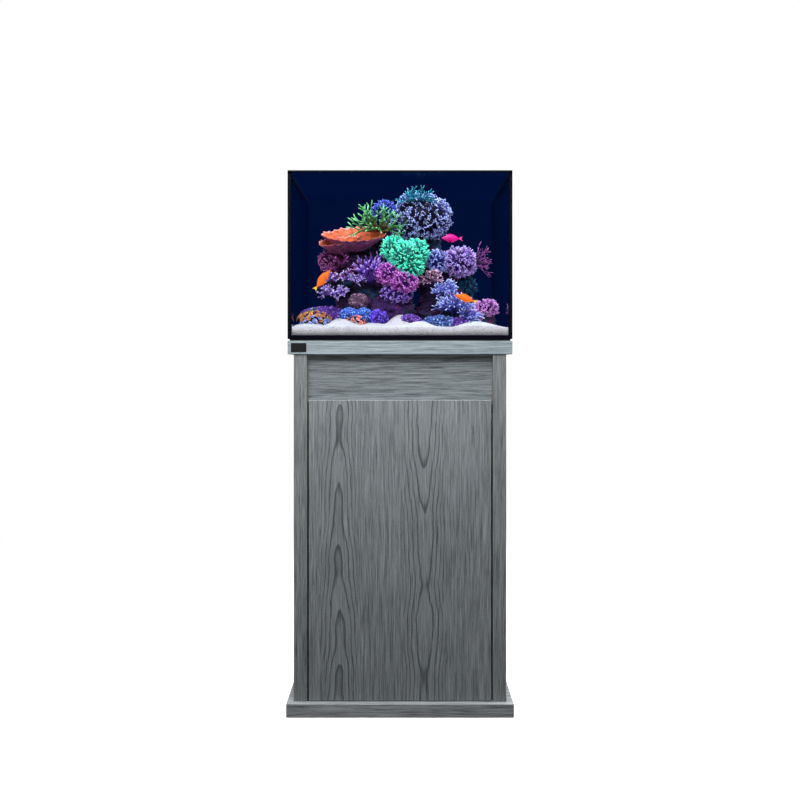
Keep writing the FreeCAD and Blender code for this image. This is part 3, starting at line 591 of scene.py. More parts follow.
class Shape:
    """Points, faces and reach values that grow as parts are added."""

    def __init__(self):
        self.points = []
        self.faces = []
        self.reach = []

    def rings(self, rows):
        """Joins rings of points, each as (points, reach), into a skin with both ends closed."""
        first = len(self.points)
        count = len(rows[0][0])
        for row, reach in rows:
            self.points.extend(row)
            self.reach.extend([reach] * count)
        for r in range(len(rows) - 1):
            for k in range(count):
                a = first + r * count + k
                b = first + r * count + (k + 1) % count
                self.faces.append((a, b, b + count, a + count))
        last = first + (len(rows) - 1) * count
        self.faces.append(tuple(first + k for k in reversed(range(count))))
        self.faces.append(tuple(last + k for k in range(count)))

    def stem(self, path, radii, reaches, sides):
        """A round stem along path, closed at both ends."""
        rows = []
        side = Vector((0.31, 0.17, 0.94)).normalized()
        for i, point in enumerate(path):
            ahead = (path[min(i + 1, len(path) - 1)] - path[max(i - 1, 0)]).normalized()
            across = ahead.cross(side)
            if across.length < 1e-4:
                across = ahead.cross(Vector((1, 0, 0)))
            across.normalize()
            up = across.cross(ahead)
            ring = []
            for k in range(sides):
                turn = 2 * math.pi * k / sides
                ring.append(point + around(across, up, turn) * radii[i])
            rows.append((ring, reaches[i]))
        self.rings(rows)

    def piece(self, name, finish, slot):
        return new_piece(name, self.points, self.faces, finish, self.reach)


def stretched(ray, radii):
    """A direction stretched to the surface of an ellipsoid."""
    return Vector([ray[k] * radii[k] for k in range(3)])


def scattered(rng, amount):
    """A random vector, each part of it within amount either way."""
    return Vector([rng.uniform(-amount, amount) for _ in range(3)])


def at(x, y, z):
    """A point from the middle of the reef's foot, given in millimetres; the foot rises to the rear."""
    return Vector((x / 1000, REEF_Y + y / 1000, GROUND + FOOT_RISE + (z + FOOT_SLOPE * y) / 1000))


# ---------------------------------------------------------------- reef makers

GOLDEN_TURN = math.pi * (3 - math.sqrt(5))


def spread_directions(count, lean, opening, rng):
    """Directions fanned evenly about lean, out to opening degrees."""
    lean = Vector(lean).normalized()
    across = lean.orthogonal().normalized()
    up = lean.cross(across)
    for n in range(count):
        tilt = math.radians(opening) * math.sqrt((n + 0.5) / count) + rng.uniform(-0.08, 0.08)
        turn = n * GOLDEN_TURN + rng.uniform(-0.2, 0.2)
        yield (lean * math.cos(tilt) + around(across, up, turn) * math.sin(tilt)).normalized()


TUFT_OPENING = 150
TUFT_SWELL = 0.26


def tuft_ball(name, finish, centre, radii, count, length, thick, seed, forks=2, lean=(0, -0.35, 0.5),
              slot="coral_lilac", core=0.80):
    """A rounded colony of short forked twigs over a dark core."""
    rng = random.Random(seed)
    shape = Shape()
    offset = Vector((seed * 1.7, seed * 0.9, seed * 2.3))
    rays, shape.faces = unit_ball(4)
    for ray in rays:
        swell = 1 + TUFT_SWELL * noise.noise(ray * 2.6 + offset) + 0.06 * noise.noise(ray * 11 + offset)
        shape.points.append(centre + stretched(ray, radii) * core * swell)
        shape.reach.append(0.0)
    for direction in spread_directions(count, lean, TUFT_OPENING, rng):
        swell = 1 + TUFT_SWELL * noise.noise(direction * 2.6 + offset)
        root = centre + stretched(direction, radii) * core * 0.9 * swell
        aim = direction + scattered(rng, 0.35)
        aim = (aim + Vector((0, 0, 0.2))).normalized()
        size = length * rng.uniform(0.75, 1.25)
        twist = scattered(rng, 1).cross(aim).normalized()
        elbow = root + aim * size * 0.5 + twist * size * 0.10
        end = root + aim * size + twist * size * 0.02
        girth = thick * rng.uniform(0.8, 1.2)
        shape.stem([root, elbow, end, end + aim * girth * 0.5],
                   [girth, girth * 0.9, girth * 0.75, girth * 0.3], [0.15, 0.55, 0.92, 1.0], 5)
        for k in range(forks):
            side = (aim.cross(twist) * (1 if k % 2 else -1) + twist * rng.uniform(-0.6, 0.6)).normalized()
            start = root.lerp(elbow, 0.7 + 0.25 * k)
            way = (aim * 0.8 + side * 0.7).normalized()
            short = size * rng.uniform(0.35, 0.55)
            ahead = (way + aim * 0.3).normalized()
            shape.stem([start, start + way * short * 0.6, start + ahead * short,
                        start + ahead * (short + girth * 0.35)],
                       [girth * 0.8, girth * 0.75, girth * 0.6, girth * 0.22], [0.5, 0.75, 0.95, 1.0], 5)
    return shape.piece(name, finish, slot)


ANTLER_FORKS = 2


def tangle(shape, root, heading, length, thick, rng, forks=ANTLER_FORKS, reach=0.1):
    """An antler: a stem that splits in two, again and again."""
    middle = root + heading * length * 0.55
    tip_way = (heading + scattered(rng, 0.2)).normalized()
    end = middle + tip_way * length * 0.45
    thin = thick * 0.80
    between = (thick + thin) / 2
    upper = min(1.0, reach + 0.9 / (forks + 2) + (0.2 if forks == 0 else 0.0))
    if forks == 0:
        shape.stem([root, middle, end, end + tip_way * thin * 0.6], [thick, between, thin * 0.85, thin * 0.3],
                   [reach, (reach + upper) / 2, 0.95, 1.0], 6)
        return
    shape.stem([root, middle, end], [thick, between, thin], [reach, (reach + upper) / 2, upper], 6)
    spin = rng.uniform(0, 6.3)
    across = tip_way.orthogonal().normalized()
    other = tip_way.cross(across)
    for k in range(2):
        turn = spin + math.pi * k + rng.uniform(-0.4, 0.4)
        open_by = rng.uniform(0.35, 0.62)
        way = (tip_way * math.cos(open_by) + around(across, other, turn) * math.sin(open_by)).normalized()
        tangle(shape, end - tip_way * thin * 0.3, way, length * rng.uniform(0.7, 0.9), thin, rng, forks - 1,
               upper)


def antlers(name, finish, root, size, count, length, thick, seed, lean, opening, slot="coral_lilac"):
    """Open branching coral: forked antlers fanned from a root spread over size."""
    rng = random.Random(seed)
    shape = Shape()
    for direction in spread_directions(count, lean, opening, rng):
        start = root + Vector([direction[k] * size[k] * rng.uniform(0.1, 0.5) for k in range(3)])
        stem_length = length * rng.uniform(0.8, 1.15)
        tangle(shape, start, direction, stem_length, thick * rng.uniform(0.85, 1.15), rng)
    return shape.piece(name, finish, slot)


def cup_sheet(shape, centre, radius, depth, ruffle, thickness, seed, tilt):
    """A thin spreading plate whose rim rises and folds; both faces and the rim are closed."""
    rng = random.Random(seed)
    waves = []
    for counts, size in (((3, 4, 5), 0.40), ((9, 10, 11), 0.25), ((21, 23, 25), 0.30)):
        waves.append((rng.choice(counts), rng.uniform(0, 6.3), size))
    sides, steps = 220, 22
    inner = 0.06
    tip = Matrix.Rotation(tilt[0], 3, "X") @ Matrix.Rotation(tilt[1], 3, "Y")
    top, under = [], []
    for r in range(steps + 1):
        share = inner + (1 - inner) * r / steps
        upper, lower = [], []
        for k in range(sides):
            angle = 2 * math.pi * k / sides
            wave = sum(size * math.sin(times * angle + phase) for times, phase, size in waves)
            chips = noise.noise(Vector((math.cos(angle) * 4, math.sin(angle) * 4, seed)))
            flat = radius * share * (1 + 0.08 * wave + 0.05 * chips)
            fold = ruffle * wave * share ** 3
            ridge = 0.0007 * math.sin(angle * 46 + seed) * share
            height = depth * share ** 1.7 + fold + ridge
            spot = Vector((flat * math.cos(angle), flat * math.sin(angle), height))
            thin = thickness * (1.5 - share)
            upper.append(centre + tip @ spot)
            lower.append(centre + tip @ (spot - Vector((0, 0, thin))))
        top.append((upper, 0.58 + 0.42 * max(0.0, share - 0.90) / 0.10))
        under.append((lower, 0.06 + 0.10 * share ** 6))
    shape.rings(top + under[::-1])


def dome(name, finish, centre, radii, knob, depth, seed):
    """A rounded colony covered in knobs."""
    offset = Vector((seed * 2.7, seed * 5.1, seed * 1.3))
    shape = Shape()
    rays, shape.faces = unit_ball(6)
    for ray in rays:
        spot = stretched(ray, radii)
        broad = noise.noise(ray * 2.1 + offset) * 0.16
        near, second = noise.voronoi(spot / knob + offset)[0][:2]
        swell = min(1.0, (second - near) * 2.2)
        fine = noise.fractal(spot * 420 + offset, 1.0, 2.0, 2) * 0.08
        shape.points.append(centre + spot * (1 + broad) + ray * depth * (swell + fine))
        shape.reach.append(min(1.0, 0.12 + swell * 0.86))
    return shape.piece(name, finish, "coral_green")


PETALS = 14
PETAL_LENGTH = 0.34


def polyp(shape, foot, direction, height, disc, rng):
    """A button polyp: stalk, dished disc and a ring of short tentacles."""
    direction = direction.normalized()
    across = direction.orthogonal().normalized()
    up = direction.cross(across)
    rows = []
    for radius, lift, reach in ((0.5, 0.0, 0.05), (0.55, 0.65, 0.15), (1.0, 0.95, 0.45),
                                (1.0 + PETAL_LENGTH, 1.08, 1.0), (0.92, 1.04, 0.8), (0.55, 0.93, 0.55),
                                (0.16, 0.98, 0.25)):
        ring = []
        for k in range(PETALS * 2):
            turn = math.pi * k / PETALS
            between_petals = radius > 1.0 and k % 2 == 1
            wide = disc * radius * (1 / (1 + PETAL_LENGTH) * 1.02 if between_petals else 1.0)
            ring.append(foot + around(across, up, turn) * wide
                        + direction * height * lift * rng.uniform(0.99, 1.01))
        rows.append((ring, reach))
    shape.rings(rows)


def polyp_patch(name, finish, centre, radii, count, disc, seed, slot="coral_orange"):
    """Button polyps crowded over the top of a mound."""
    rng = random.Random(seed)
    shape = Shape()
    height = 0.008
    for direction in spread_directions(count, (0, -0.35, 1), 88, rng):
        polyp(shape, centre + stretched(direction, radii), direction + Vector((0, 0, 0.25)),
              height * rng.uniform(0.8, 1.3), disc * rng.uniform(0.75, 1.2), rng)
    return shape.piece(name, finish, slot)


# ---------------------------------------------------------------- the cabinet and its fittings

def dress_cabinet():
    door_low, door_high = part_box("door")
    width = door_high.x - door_low.x
    no_loops = -1.0
    columns = [(door_low.x + width * 0.165, 0.062, 1, no_loops, 0.117),
               (door_low.x + width * 0.630, 0.072, -1, 0.40, -0.026)]
    # The door gets a painted highlight on its top face and painted shade on its side edges.
    door = board("door_board", (0.219, 0.238, 0.249), (0.050, 0.057, 0.062), True, columns, 1.0, lift=1.5,
                 edge_shade=0.85)
    dress(door, "door")
    carcass = board("carcass_board", (0.205, 0.222, 0.225), (0.046, 0.053, 0.056), True, (), 4.0)
    dress(carcass, "side_panel_left", "side_panel_right")
    level = board("level_board", (0.200, 0.229, 0.240), (0.040, 0.048, 0.052), False, (), 8.0, contrast=1.25)
    dress(level, "fascia_panel")
    # The plinth gets a painted highlight on its top face.
    plinth = board("plinth_board", (0.320, 0.335, 0.345), (0.060, 0.065, 0.068), False, (), 11.0, lift=0.3)
    dress(plinth, "plinth")
    top = board("worktop_board", (0.280, 0.330, 0.348), (0.085, 0.120, 0.138), False, (), 14.0, 0.00018, 1.15)
    dress(top, "worktop")
    inner = board("inner_board", (0.20, 0.215, 0.22), (0.085, 0.095, 0.10), True, (), 17.0, 0.00015)
    dress(inner, "back_panel", "rear_rail", "bottom_panel")
    dress(foam(), "tank_mat", "sump_mat")
    badge = moulded("badge_plate_black", (0.004, 0.004, 0.005), 0.55, 1600.0, 0.00002, gloss=0.15)
    dress(badge, "badge_plate")
    hinge_black = moulded("hinge_black", (0.005, 0.005, 0.0055), 0.60, 1200.0, 0.00003, 0.2, 0.2)
    dress(hinge_black, "hinge_leaf_fixed", "hinge_leaf_door")
    dress(brushed("hinge_pin_steel", (0.55, 0.55, 0.56), 0.25), "hinge_pin")
    zinc = brushed("zinc_screws", (0.62, 0.62, 0.60), 0.30, 0)
    dress(zinc, "hinge_screws_fixed", "hinge_screws_door", "latch_strike", "carcass_screws")
    dress(moulded("latch_case_grey", (0.18, 0.185, 0.19), 0.45), "push_latch_body")
    dress(moulded("latch_plunger_white", (0.62, 0.62, 0.60), 0.38), "push_latch_plunger")
    dress(moulded("bumper_rubber", (0.03, 0.03, 0.03), 0.75), "door_bumpers")


def dress_tank():
    clear_tint = (0.93, 0.945, 0.975)
    dress(clear_sheet("front_pane_glass", clear_tint, thin_along=1), "tank_front_pane")
    dress(clear_sheet("end_pane_glass", clear_tint, thin_along=0), "tank_left_pane", "tank_right_pane")
    base = moulded("base_pane_backed", (0.0006, 0.0008, 0.0035), 0.55, 900.0, 0.00002, 0.2, 0.03)
    dress(base, "tank_base_pane")
    # The rear pane, the seams, the weir box and its comb all carry the painted navy glow of backed_glass.
    dress(backed_glass(), "tank_rear_pane")
    dress(backed_glass("dark_silicone", 0.5), "silicone_seams")
    dress(backed_glass("navy_acrylic", 0.92), "weir_box", "weir_comb")
    dress(coral_sand(), "sand_bed")


def dress_plumbing():
    pipe = moulded("grey_pipe", (0.105, 0.110, 0.118), 0.42, 700.0, 0.00003)
    dress(pipe, "drain_pipes", "return_pipe", "return_riser", "standpipes", "gate_valve_body")
    dress(moulded("bulkhead_black", (0.012, 0.012, 0.013), 0.45), "bulkhead_fittings", "bulkhead_nuts",
          "return_tap_body")
    red = moulded("valve_red", (0.42, 0.018, 0.014), 0.38, 500.0, 0.00003)
    dress(red, "gate_valve_wheel", "return_tap_lever")
    dress(moulded("nozzle_black", (0.006, 0.006, 0.007), 0.40), "return_nozzle")


def dress_sump():
    dress(clear_sheet("sump_glass", (0.93, 0.975, 0.96)), "sump_tank")
    dress(moulded("baffle_acrylic", (0.010, 0.010, 0.012), 0.15), "sump_baffles", "sock_holder")
    dress(needled_felt(), "filter_sock")
    dress(clear_sheet("skimmer_tube", (0.90, 0.93, 0.95), 0.06, 1.15), "skimmer_body")
    dress(clear_sheet("skimmer_cup_tube", (0.86, 0.88, 0.90), 0.06, 1.15), "skimmer_cup")
    dress(moulded("pump_black", (0.012, 0.012, 0.013), 0.5), "skimmer_pump", "return_pump")
    dress(moulded("reservoir_white", (0.60, 0.61, 0.60), 0.42), "topup_reservoir")


# ---------------------------------------------------------------- water, sand and reef

def grid(low, high, columns, rows):
    """Evenly spread x and y over a rectangle, row by row."""
    for r in range(rows + 1):
        for k in range(columns + 1):
            yield low[0] + (high[0] - low[0]) * k / columns, low[1] + (high[1] - low[1]) * r / rows


def grid_faces(columns, rows):
    """The corners of each square of such a grid."""
    for r in range(rows):
        for k in range(columns):
            a = r * (columns + 1) + k
            yield a, a + 1, a + columns + 2, a + columns + 1


def water():
    """Water surface just under the rim, with slow ripples."""
    columns, rows = 150, 120
    lap = 0.0003
    low = (WATER_LEFT - lap, WATER_FRONT - lap)
    high = (WATER_RIGHT + lap, WATER_REAR + lap)
    points = []
    for x, y in grid(low, high, columns, rows):
        swell = 0.0005 * noise.noise(Vector((x * 16, y * 16, 1.0)))
        ripple = 0.0002 * noise.noise(Vector((x * 55, y * 55, 4.0)))
        points.append((x, y, WATER_LEVEL + swell + ripple))
    faces = list(grid_faces(columns, rows))
    new_piece("water_surface", points, faces, clear_water(), solid=False)


# The middle of each mound (x, y), its half-width and its height.
SAND_MOUNDS = ((-0.245, -0.13, 0.060, 0.016), (-0.158, -0.12, 0.056, 0.029), (0.000, -0.12, 0.042, 0.038),
               (0.052, -0.14, 0.045, 0.020), (0.205, -0.14, 0.060, 0.019), (-0.075, -0.08, 0.070, 0.022),
               (0.125, -0.10, 0.060, 0.012))


def sand_height(x, y):
    """Top of the sand above its level bed: mounds, a rise to the rear, waves and grain."""
    rise = 0.010 * (y - sand_low.y) / (sand_high.y - sand_low.y)
    mounds = 0.0
    for left, front, wide, tall in SAND_MOUNDS:
        mounds = max(mounds, tall * math.exp(-((x - left) ** 2 + (y - front) ** 2 * 0.5) / wide ** 2))
    wave = 0.0040 * noise.noise(Vector((x * 14, y * 9, 3.0)))
    grain = 0.0007 * noise.fractal(Vector((x * 260, y * 260, 1.0)), 0.9, 2.1, 3)
    return rise + mounds + wave + grain - 0.004


SLIVER = 1e-8  # squares smaller than this, in square metres, are left out


def sand():
    """The sand bed sculpted over the level one, cut out round the weir, with its sides and foot."""
    columns, rows = 250, 190
    gap = 0.001
    shape = Shape()
    for x, y in grid(sand_low, sand_high, columns, rows):
        if weir_low.x - gap < x < weir_high.x + gap:
            y = min(y, weir_low.y - gap)
        shape.points.append(Vector((x, y, GROUND + sand_height(x, y))))
    for corners in grid_faces(columns, rows):
        spots = [shape.points[c] for c in corners]
        if (spots[1] - spots[0]).cross(spots[2] - spots[1]).length > SLIVER:
            shape.faces.append(corners)
    across = columns + 1
    edge = list(range(across))
    edge += [r * across + columns for r in range(1, rows + 1)]
    edge += [rows * across + k for k in range(columns - 1, -1, -1)]
    edge += [r * across for r in range(rows - 1, 0, -1)]
    first = len(shape.points)
    for index in edge:
        spot = shape.points[index]
        shape.points.append(Vector((spot.x, spot.y, sand_low.z)))
    for i in range(len(edge)):
        j = (i + 1) % len(edge)
        shape.faces.append((edge[i], first + i, first + j, edge[j]))
    shape.faces.append(tuple(first + i for i in reversed(range(len(edge)))))
    shape.reach = [0.5] * len(shape.points)
    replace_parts(shape.piece("sand_drifts", coral_sand(), "sand"), "sand_bed")


ROCK_ROUGHNESS = 0.26


def rock(name, centre, radii, seed, finish, replaces=None):
    """A lump of rock in millimetres: a ball pushed in and out by broad, middle and pitted noise."""
    offset = Vector((seed * 7.3, seed * 3.1, seed * 5.7))
    floor = GROUND - 0.004
    rays, faces = unit_ball(6 if replaces else 5)
    points = []
    for ray in rays:
        broad = noise.noise(ray * 1.6 + offset)
        middle = noise.fractal(ray * 4.2 + offset, 0.8, 2.1, 4)
        pits = max(0.0, 0.34 - noise.voronoi(ray * 3.0 + offset)[0][0])
        push = 1 + broad * 0.28 + (middle - pits * 1.6) * ROCK_ROUGHNESS
        spot = at(*centre) + stretched(ray, radii) / 1000 * push
        points.append((spot.x, spot.y, max(spot.z, floor)))
    piece = new_piece(name, points, faces, finish)
    if replaces:
        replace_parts(piece, replaces)


def reef_rocks():
    """Three big mounds, and the shelves, feet and knobs between them."""
    lively = living_rock("living_rock_violet", 0.60)
    quiet = living_rock("living_rock_dark", 0.32)
    rock("rock_mound_left", (-92, 22, 42), (92, 70, 76), 1, lively, "rock_left")
    rock("rock_mound_right", (134, 30, 34), (84, 62, 64), 2, quiet, "rock_right")
    rock("rock_mound_centre", (14, 56, 196), (98, 54, 100), 3, quiet, "rock_centre")
    rock("rock_shelf_left", (-132, 14, 168), (66, 48, 40), 4, quiet)
    rock("rock_shelf_right", (150, 26, 160), (64, 40, 40), 5, quiet)
    rock("rock_flank_left", (-186, -2, 112), (46, 40, 38), 11, quiet)
    rock("rock_foot_middle", (-24, -28, 30), (66, 46, 60), 6, lively)
    rock("rock_foot_left", (-206, -20, 4), (54, 44, 42), 7, lively)
    rock("rock_foot_right", (224, -10, 0), (50, 40, 38), 8, quiet)
    rock("rock_arch", (96, 36, 120), (44, 38, 62), 9, quiet)
    rock("rock_knob_left", (-112, -66, 56), (26, 22, 26), 10, living_rock("living_rock_wine", 0.2))


def plate_coral():
    """Two ruffled orange cups on the left shelf."""
    orange = coral_skin("coral_orange_plate", (0.28, 0.075, 0.16), (0.42, 0.072, 0.014), (0.66, 0.24, 0.22),
                        0.0030, glow=0.06)
    cup = Shape()
    cup_sheet(cup, at(-130, -14, 210), 0.090, 0.046, 0.0050, 0.0042, 1, (0.33, 0.0))
    cup_sheet(cup, at(-170, -32, 202), 0.056, 0.034, 0.0045, 0.0036, 2, (0.32, -0.14))
    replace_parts(cup.piece("orange_plate_coral", orange, "coral_orange"), "coral_orange_cup")


def crest_corals():
    """Green, lilac, teal and blue corals along the top of the reef."""
    green = coral_skin("coral_green", (0.10, 0.055, 0.012), (0.045, 0.22, 0.06), (0.20, 0.66, 0.22),
                       tip_from=0.66)
    lilac = coral_skin("coral_lilac", (0.002, 0.0015, 0.015), (0.070, 0.062, 0.30), (0.58, 0.66, 1.0),
                       tip_from=0.74)
    teal = coral_skin("coral_teal", (0.002, 0.03, 0.06), (0.01, 0.17, 0.25), (0.10, 0.52, 0.58))
    blue = coral_skin("coral_blue", (0.006, 0.008, 0.12), (0.06, 0.07, 0.50), (0.30, 0.40, 1.0))
    piece = antlers("green_branching_coral", green, at(-60, -20, 262), (0.066, 0.03, 0.02), 30, 0.031, 0.0031,
                    11, (0, -0.1, 0.8), 88, "coral_green")
    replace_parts(piece, "coral_green_branch")
    piece = tuft_ball("lilac_branching_coral", lilac, at(80, -8, 304), (0.074, 0.056, 0.062), 520,
                      0.018, 0.0020, 12)
    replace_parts(piece, "coral_lilac_bush")
    tuft_ball("lilac_branching_crown", lilac, at(38, -4, 331), (0.050, 0.040, 0.036), 240, 0.016, 0.0019, 61)
    tuft_ball("lilac_branching_foot", lilac, at(14, -22, 276), (0.040, 0.032, 0.034), 180, 0.015, 0.0018, 62)
    antlers("teal_crest_coral", teal, at(50, -38, 341), (0.045, 0.02, 0.01), 24, 0.018, 0.0026, 13,
            (0, 0, 1), 80)
    tuft_ball("blue_crest_coral", blue, at(-46, 22, 322), (0.034, 0.030, 0.030), 150, 0.013, 0.0017, 14)


def mint_corals():
    """Mint tufts in the middle of the reef's front."""
    mint = coral_skin("coral_mint", (0.004, 0.10, 0.085), (0.03, 0.78, 0.47), (0.28, 1.0, 0.68), 0.003)

    def mint_tuft(name, centre, radii, count, seed):
        return tuft_ball(name, mint, centre, radii, count, 0.012, 0.0024, seed, 1, slot="coral_green",
                         core=0.86)

    piece = mint_tuft("mint_tuft_coral", at(14, -70, 190), (0.048, 0.036, 0.042), 420, 15)
    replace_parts(piece, "coral_mint_dome")
    mint_tuft("mint_tuft_left", at(-18, -62, 212), (0.034, 0.030, 0.032), 240, 35)
    mint_tuft("mint_tuft_right", at(46, -62, 200), (0.032, 0.030, 0.036), 240, 36)
    mint_tuft("mint_tuft_foot", at(34, -78, 158), (0.028, 0.026, 0.026), 180, 37)


def middle_corals():
    """Violet, magenta, wine and pale corals below the crest and at the left."""
    violet = coral_skin("coral_violet", (0.02, 0.004, 0.08), (0.18, 0.06, 0.46), (0.60, 0.40, 0.95),
                        tip_from=0.75)
    magenta = coral_skin("coral_magenta", (0.05, 0.003, 0.10), (0.38, 0.04, 0.42), (0.95, 0.38, 0.85))
    wine = coral_skin("coral_burgundy", (0.03, 0.003, 0.03), (0.18, 0.028, 0.14), (0.50, 0.16, 0.38))
    pale = coral_skin("coral_pale_leaf", (0.03, 0.01, 0.10), (0.26, 0.14, 0.50), (0.78, 0.66, 1.0))
    blush = coral_skin("coral_blush", (0.05, 0.02, 0.05), (0.34, 0.16, 0.26), (0.80, 0.55, 0.70))
    tuft_ball("magenta_coral_left", magenta, at(-34, -78, 140), (0.032, 0.028, 0.026), 220, 0.014, 0.0017, 16)
    tuft_ball("magenta_coral_right", magenta, at(12, -84, 118), (0.040, 0.026, 0.024), 260, 0.014, 0.0017, 38)
    tuft_ball("violet_shade_coral", violet, at(-6, -62, 92), (0.052, 0.034, 0.030), 260, 0.012, 0.0018, 39)
    antlers("violet_upright_coral", violet, at(-82, -52, 108), (0.022, 0.02, 0.01), 16, 0.034, 0.0036, 17,
            (0, -0.1, 1), 42)
    tuft_ball("burgundy_coral", wine, at(-204, -20, 178), (0.024, 0.024, 0.024), 150, 0.014, 0.0019, 18)
    antlers("wine_hanging_coral", wine, at(-166, -36, 150), (0.02, 0.02, 0.01), 14, 0.022, 0.0028, 40,
            (-0.3, -0.4, 0.4), 90)
    leaves = ((-126, 128, 0.3), (-146, 134, -0.1), (-190, 132, -0.5), (-160, 94, -0.3), (-202, 92, -0.8),
              (-178, 88, 0.3))
    for k, (x, z, lean) in enumerate(leaves):
        antlers(f"pale_leaf_coral_{k}", pale, at(x, -64 - 3 * k, z - 12), (0.014, 0.01, 0.01), 9,
                0.011, 0.0032, 70 + k, (lean, -0.4, 0.9), 75)
    antlers("blush_coral", blush, at(90, -60, 118), (0.02, 0.02, 0.01), 18, 0.015, 0.0026, 23,
            (0, -0.3, 0.8), 85)


def right_corals():
    """Violet, blue, rust, pink and dusky teal corals at the right, and the blue column in front."""
    violet = coral_skin("coral_violet_right", (0.03, 0.008, 0.10), (0.24, 0.10, 0.46), (0.72, 0.55, 0.98),
                        tip_from=0.72)
    blue = coral_skin("coral_blue_right", (0.01, 0.01, 0.12), (0.13, 0.14, 0.52), (0.60, 0.68, 1.0),
                      tip_from=0.72)
    wine = coral_skin("coral_rust", (0.03, 0.003, 0.04), (0.18, 0.04, 0.18), (0.45, 0.15, 0.30))
    pink = coral_skin("coral_pink", (0.05, 0.01, 0.09), (0.38, 0.10, 0.40), (0.85, 0.45, 0.80))
    dusk = coral_skin("coral_dusk_teal", (0.002, 0.008, 0.03), (0.004, 0.06, 0.13), (0.01, 0.13, 0.22))
    piece = tuft_ball("violet_right_coral", violet, at(168, -8, 176), (0.050, 0.040, 0.036), 380,
                      0.018, 0.0021, 20)
    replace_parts(piece, "coral_right_bush")
    tuft_ball("blue_right_coral", blue, at(106, -24, 178), (0.030, 0.026, 0.026), 170, 0.014, 0.0019, 21)
    antlers("rust_right_coral", wine, at(206, -10, 170), (0.03, 0.02, 0.03), 12, 0.022, 0.0017, 22,
            (1, 0, 0.20), 55)
    piece = antlers("blue_column_coral", blue, at(152, -88, 26), (0.02, 0.02, 0.02), 28, 0.024, 0.0030, 24,
                    (-0.1, -0.1, 1), 58)
    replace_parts(piece, "coral_blue_column")
    antlers("blue_column_top", blue, at(128, -84, 80), (0.02, 0.02, 0.02), 22, 0.017, 0.0026, 44,
            (-0.2, -0.2, 0.9), 72)
    antlers("blue_column_foot", blue, at(180, -92, 14), (0.02, 0.02, 0.01), 18, 0.018, 0.0026, 45,
            (0.5, -0.2, 0.6), 75)
    tuft_ball("pink_far_coral", pink, at(246, -34, 44), (0.032, 0.026, 0.016), 190, 0.014, 0.0019, 25,
              lean=(0.3, -0.3, 0.5))
    tuft_ball("wine_mound_coral", pink, at(206, -52, 22), (0.024, 0.022, 0.016), 120, 0.012, 0.0017, 46)
    tuft_ball("dusk_teal_coral", dusk, at(196, 20, 106), (0.024, 0.020, 0.026), 120, 0.012, 0.0018, 47)


def floor_corals():
    """Knobbly mounds along the foot of the reef."""
    blue = coral_skin("brain_blue", (0.004, 0.006, 0.06), (0.05, 0.12, 0.50), (0.22, 0.42, 0.90), 0.0024)
    violet = coral_skin("brain_violet", (0.01, 0.002, 0.06), (0.10, 0.04, 0.50), (0.30, 0.20, 0.95), 0.0024)
    grape = coral_skin("low_grape", (0.012, 0.003, 0.04), (0.10, 0.03, 0.26), (0.34, 0.18, 0.60), 0.0026)
    sea = coral_skin("low_sea", (0.004, 0.008, 0.03), (0.06, 0.10, 0.30), (0.30, 0.48, 0.70), 0.0026)
    mauve = coral_skin("brain_mauve", (0.02, 0.008, 0.02), (0.15, 0.07, 0.12), (0.34, 0.20, 0.26), 0.0024)
    dome("mauve_brain", mauve, at(-116, -80, 62), (0.026, 0.021, 0.022), 0.0060, 0.0030, 53)
    dome("blue_brain_left", blue, at(-140, -94, 22), (0.027, 0.024, 0.022), 0.0055, 0.0026, 26)
    dome("blue_brain_middle", blue, at(-100, -98, 24), (0.022, 0.020, 0.020), 0.0050, 0.0026, 27)
    dome("violet_brain_middle", violet, at(-62, -98, 18), (0.026, 0.022, 0.020), 0.0060, 0.0030, 28)
    dome("grape_mound_middle", grape, at(28, -110, 4), (0.034, 0.026, 0.020), 0.0060, 0.0040, 48)
    dome("sea_mound_right", sea, at(108, -104, 0), (0.044, 0.030, 0.022), 0.0070, 0.0050, 49)
    dome("grape_mound_right", grape, at(158, -98, -2), (0.036, 0.028, 0.018), 0.0060, 0.0040, 50)
    dome("grape_bank_left", grape, at(-214, -52, 20), (0.066, 0.034, 0.026), 0.0070, 0.0050, 51)


def button_polyps():
    """Patches of small polyps at the left foot."""
    rust = coral_skin("button_rust", (0.04, 0.01, 0.02), (0.42, 0.12, 0.03), (0.80, 0.45, 0.10), 0.002)
    sky = coral_skin("button_sky", (0.01, 0.01, 0.06), (0.12, 0.16, 0.42), (0.50, 0.58, 0.90), 0.002)
    pink = coral_skin("button_pink", (0.05, 0.01, 0.02), (0.55, 0.13, 0.10), (0.90, 0.45, 0.35), 0.002)
    lime = coral_skin("button_lime", (0.01, 0.05, 0.01), (0.10, 0.45, 0.08), (0.40, 0.95, 0.30), 0.002)
    polyp_patch("button_polyps_rust", rust, at(-238, -84, 10), (0.040, 0.028, 0.018), 60, 0.0046, 29)
    polyp_patch("button_polyps_sky", sky, at(-232, -100, -4), (0.036, 0.024, 0.020), 52, 0.0044, 30)
    polyp_patch("button_polyps_pink", pink, at(-122, -112, -2), (0.022, 0.018, 0.018), 30, 0.0044, 31)
    polyp_patch("button_polyps_lime", lime, at(-238, -64, 26), (0.012, 0.010, 0.010), 12, 0.0038, 52,
                "coral_green")


# ---------------------------------------------------------------- fish

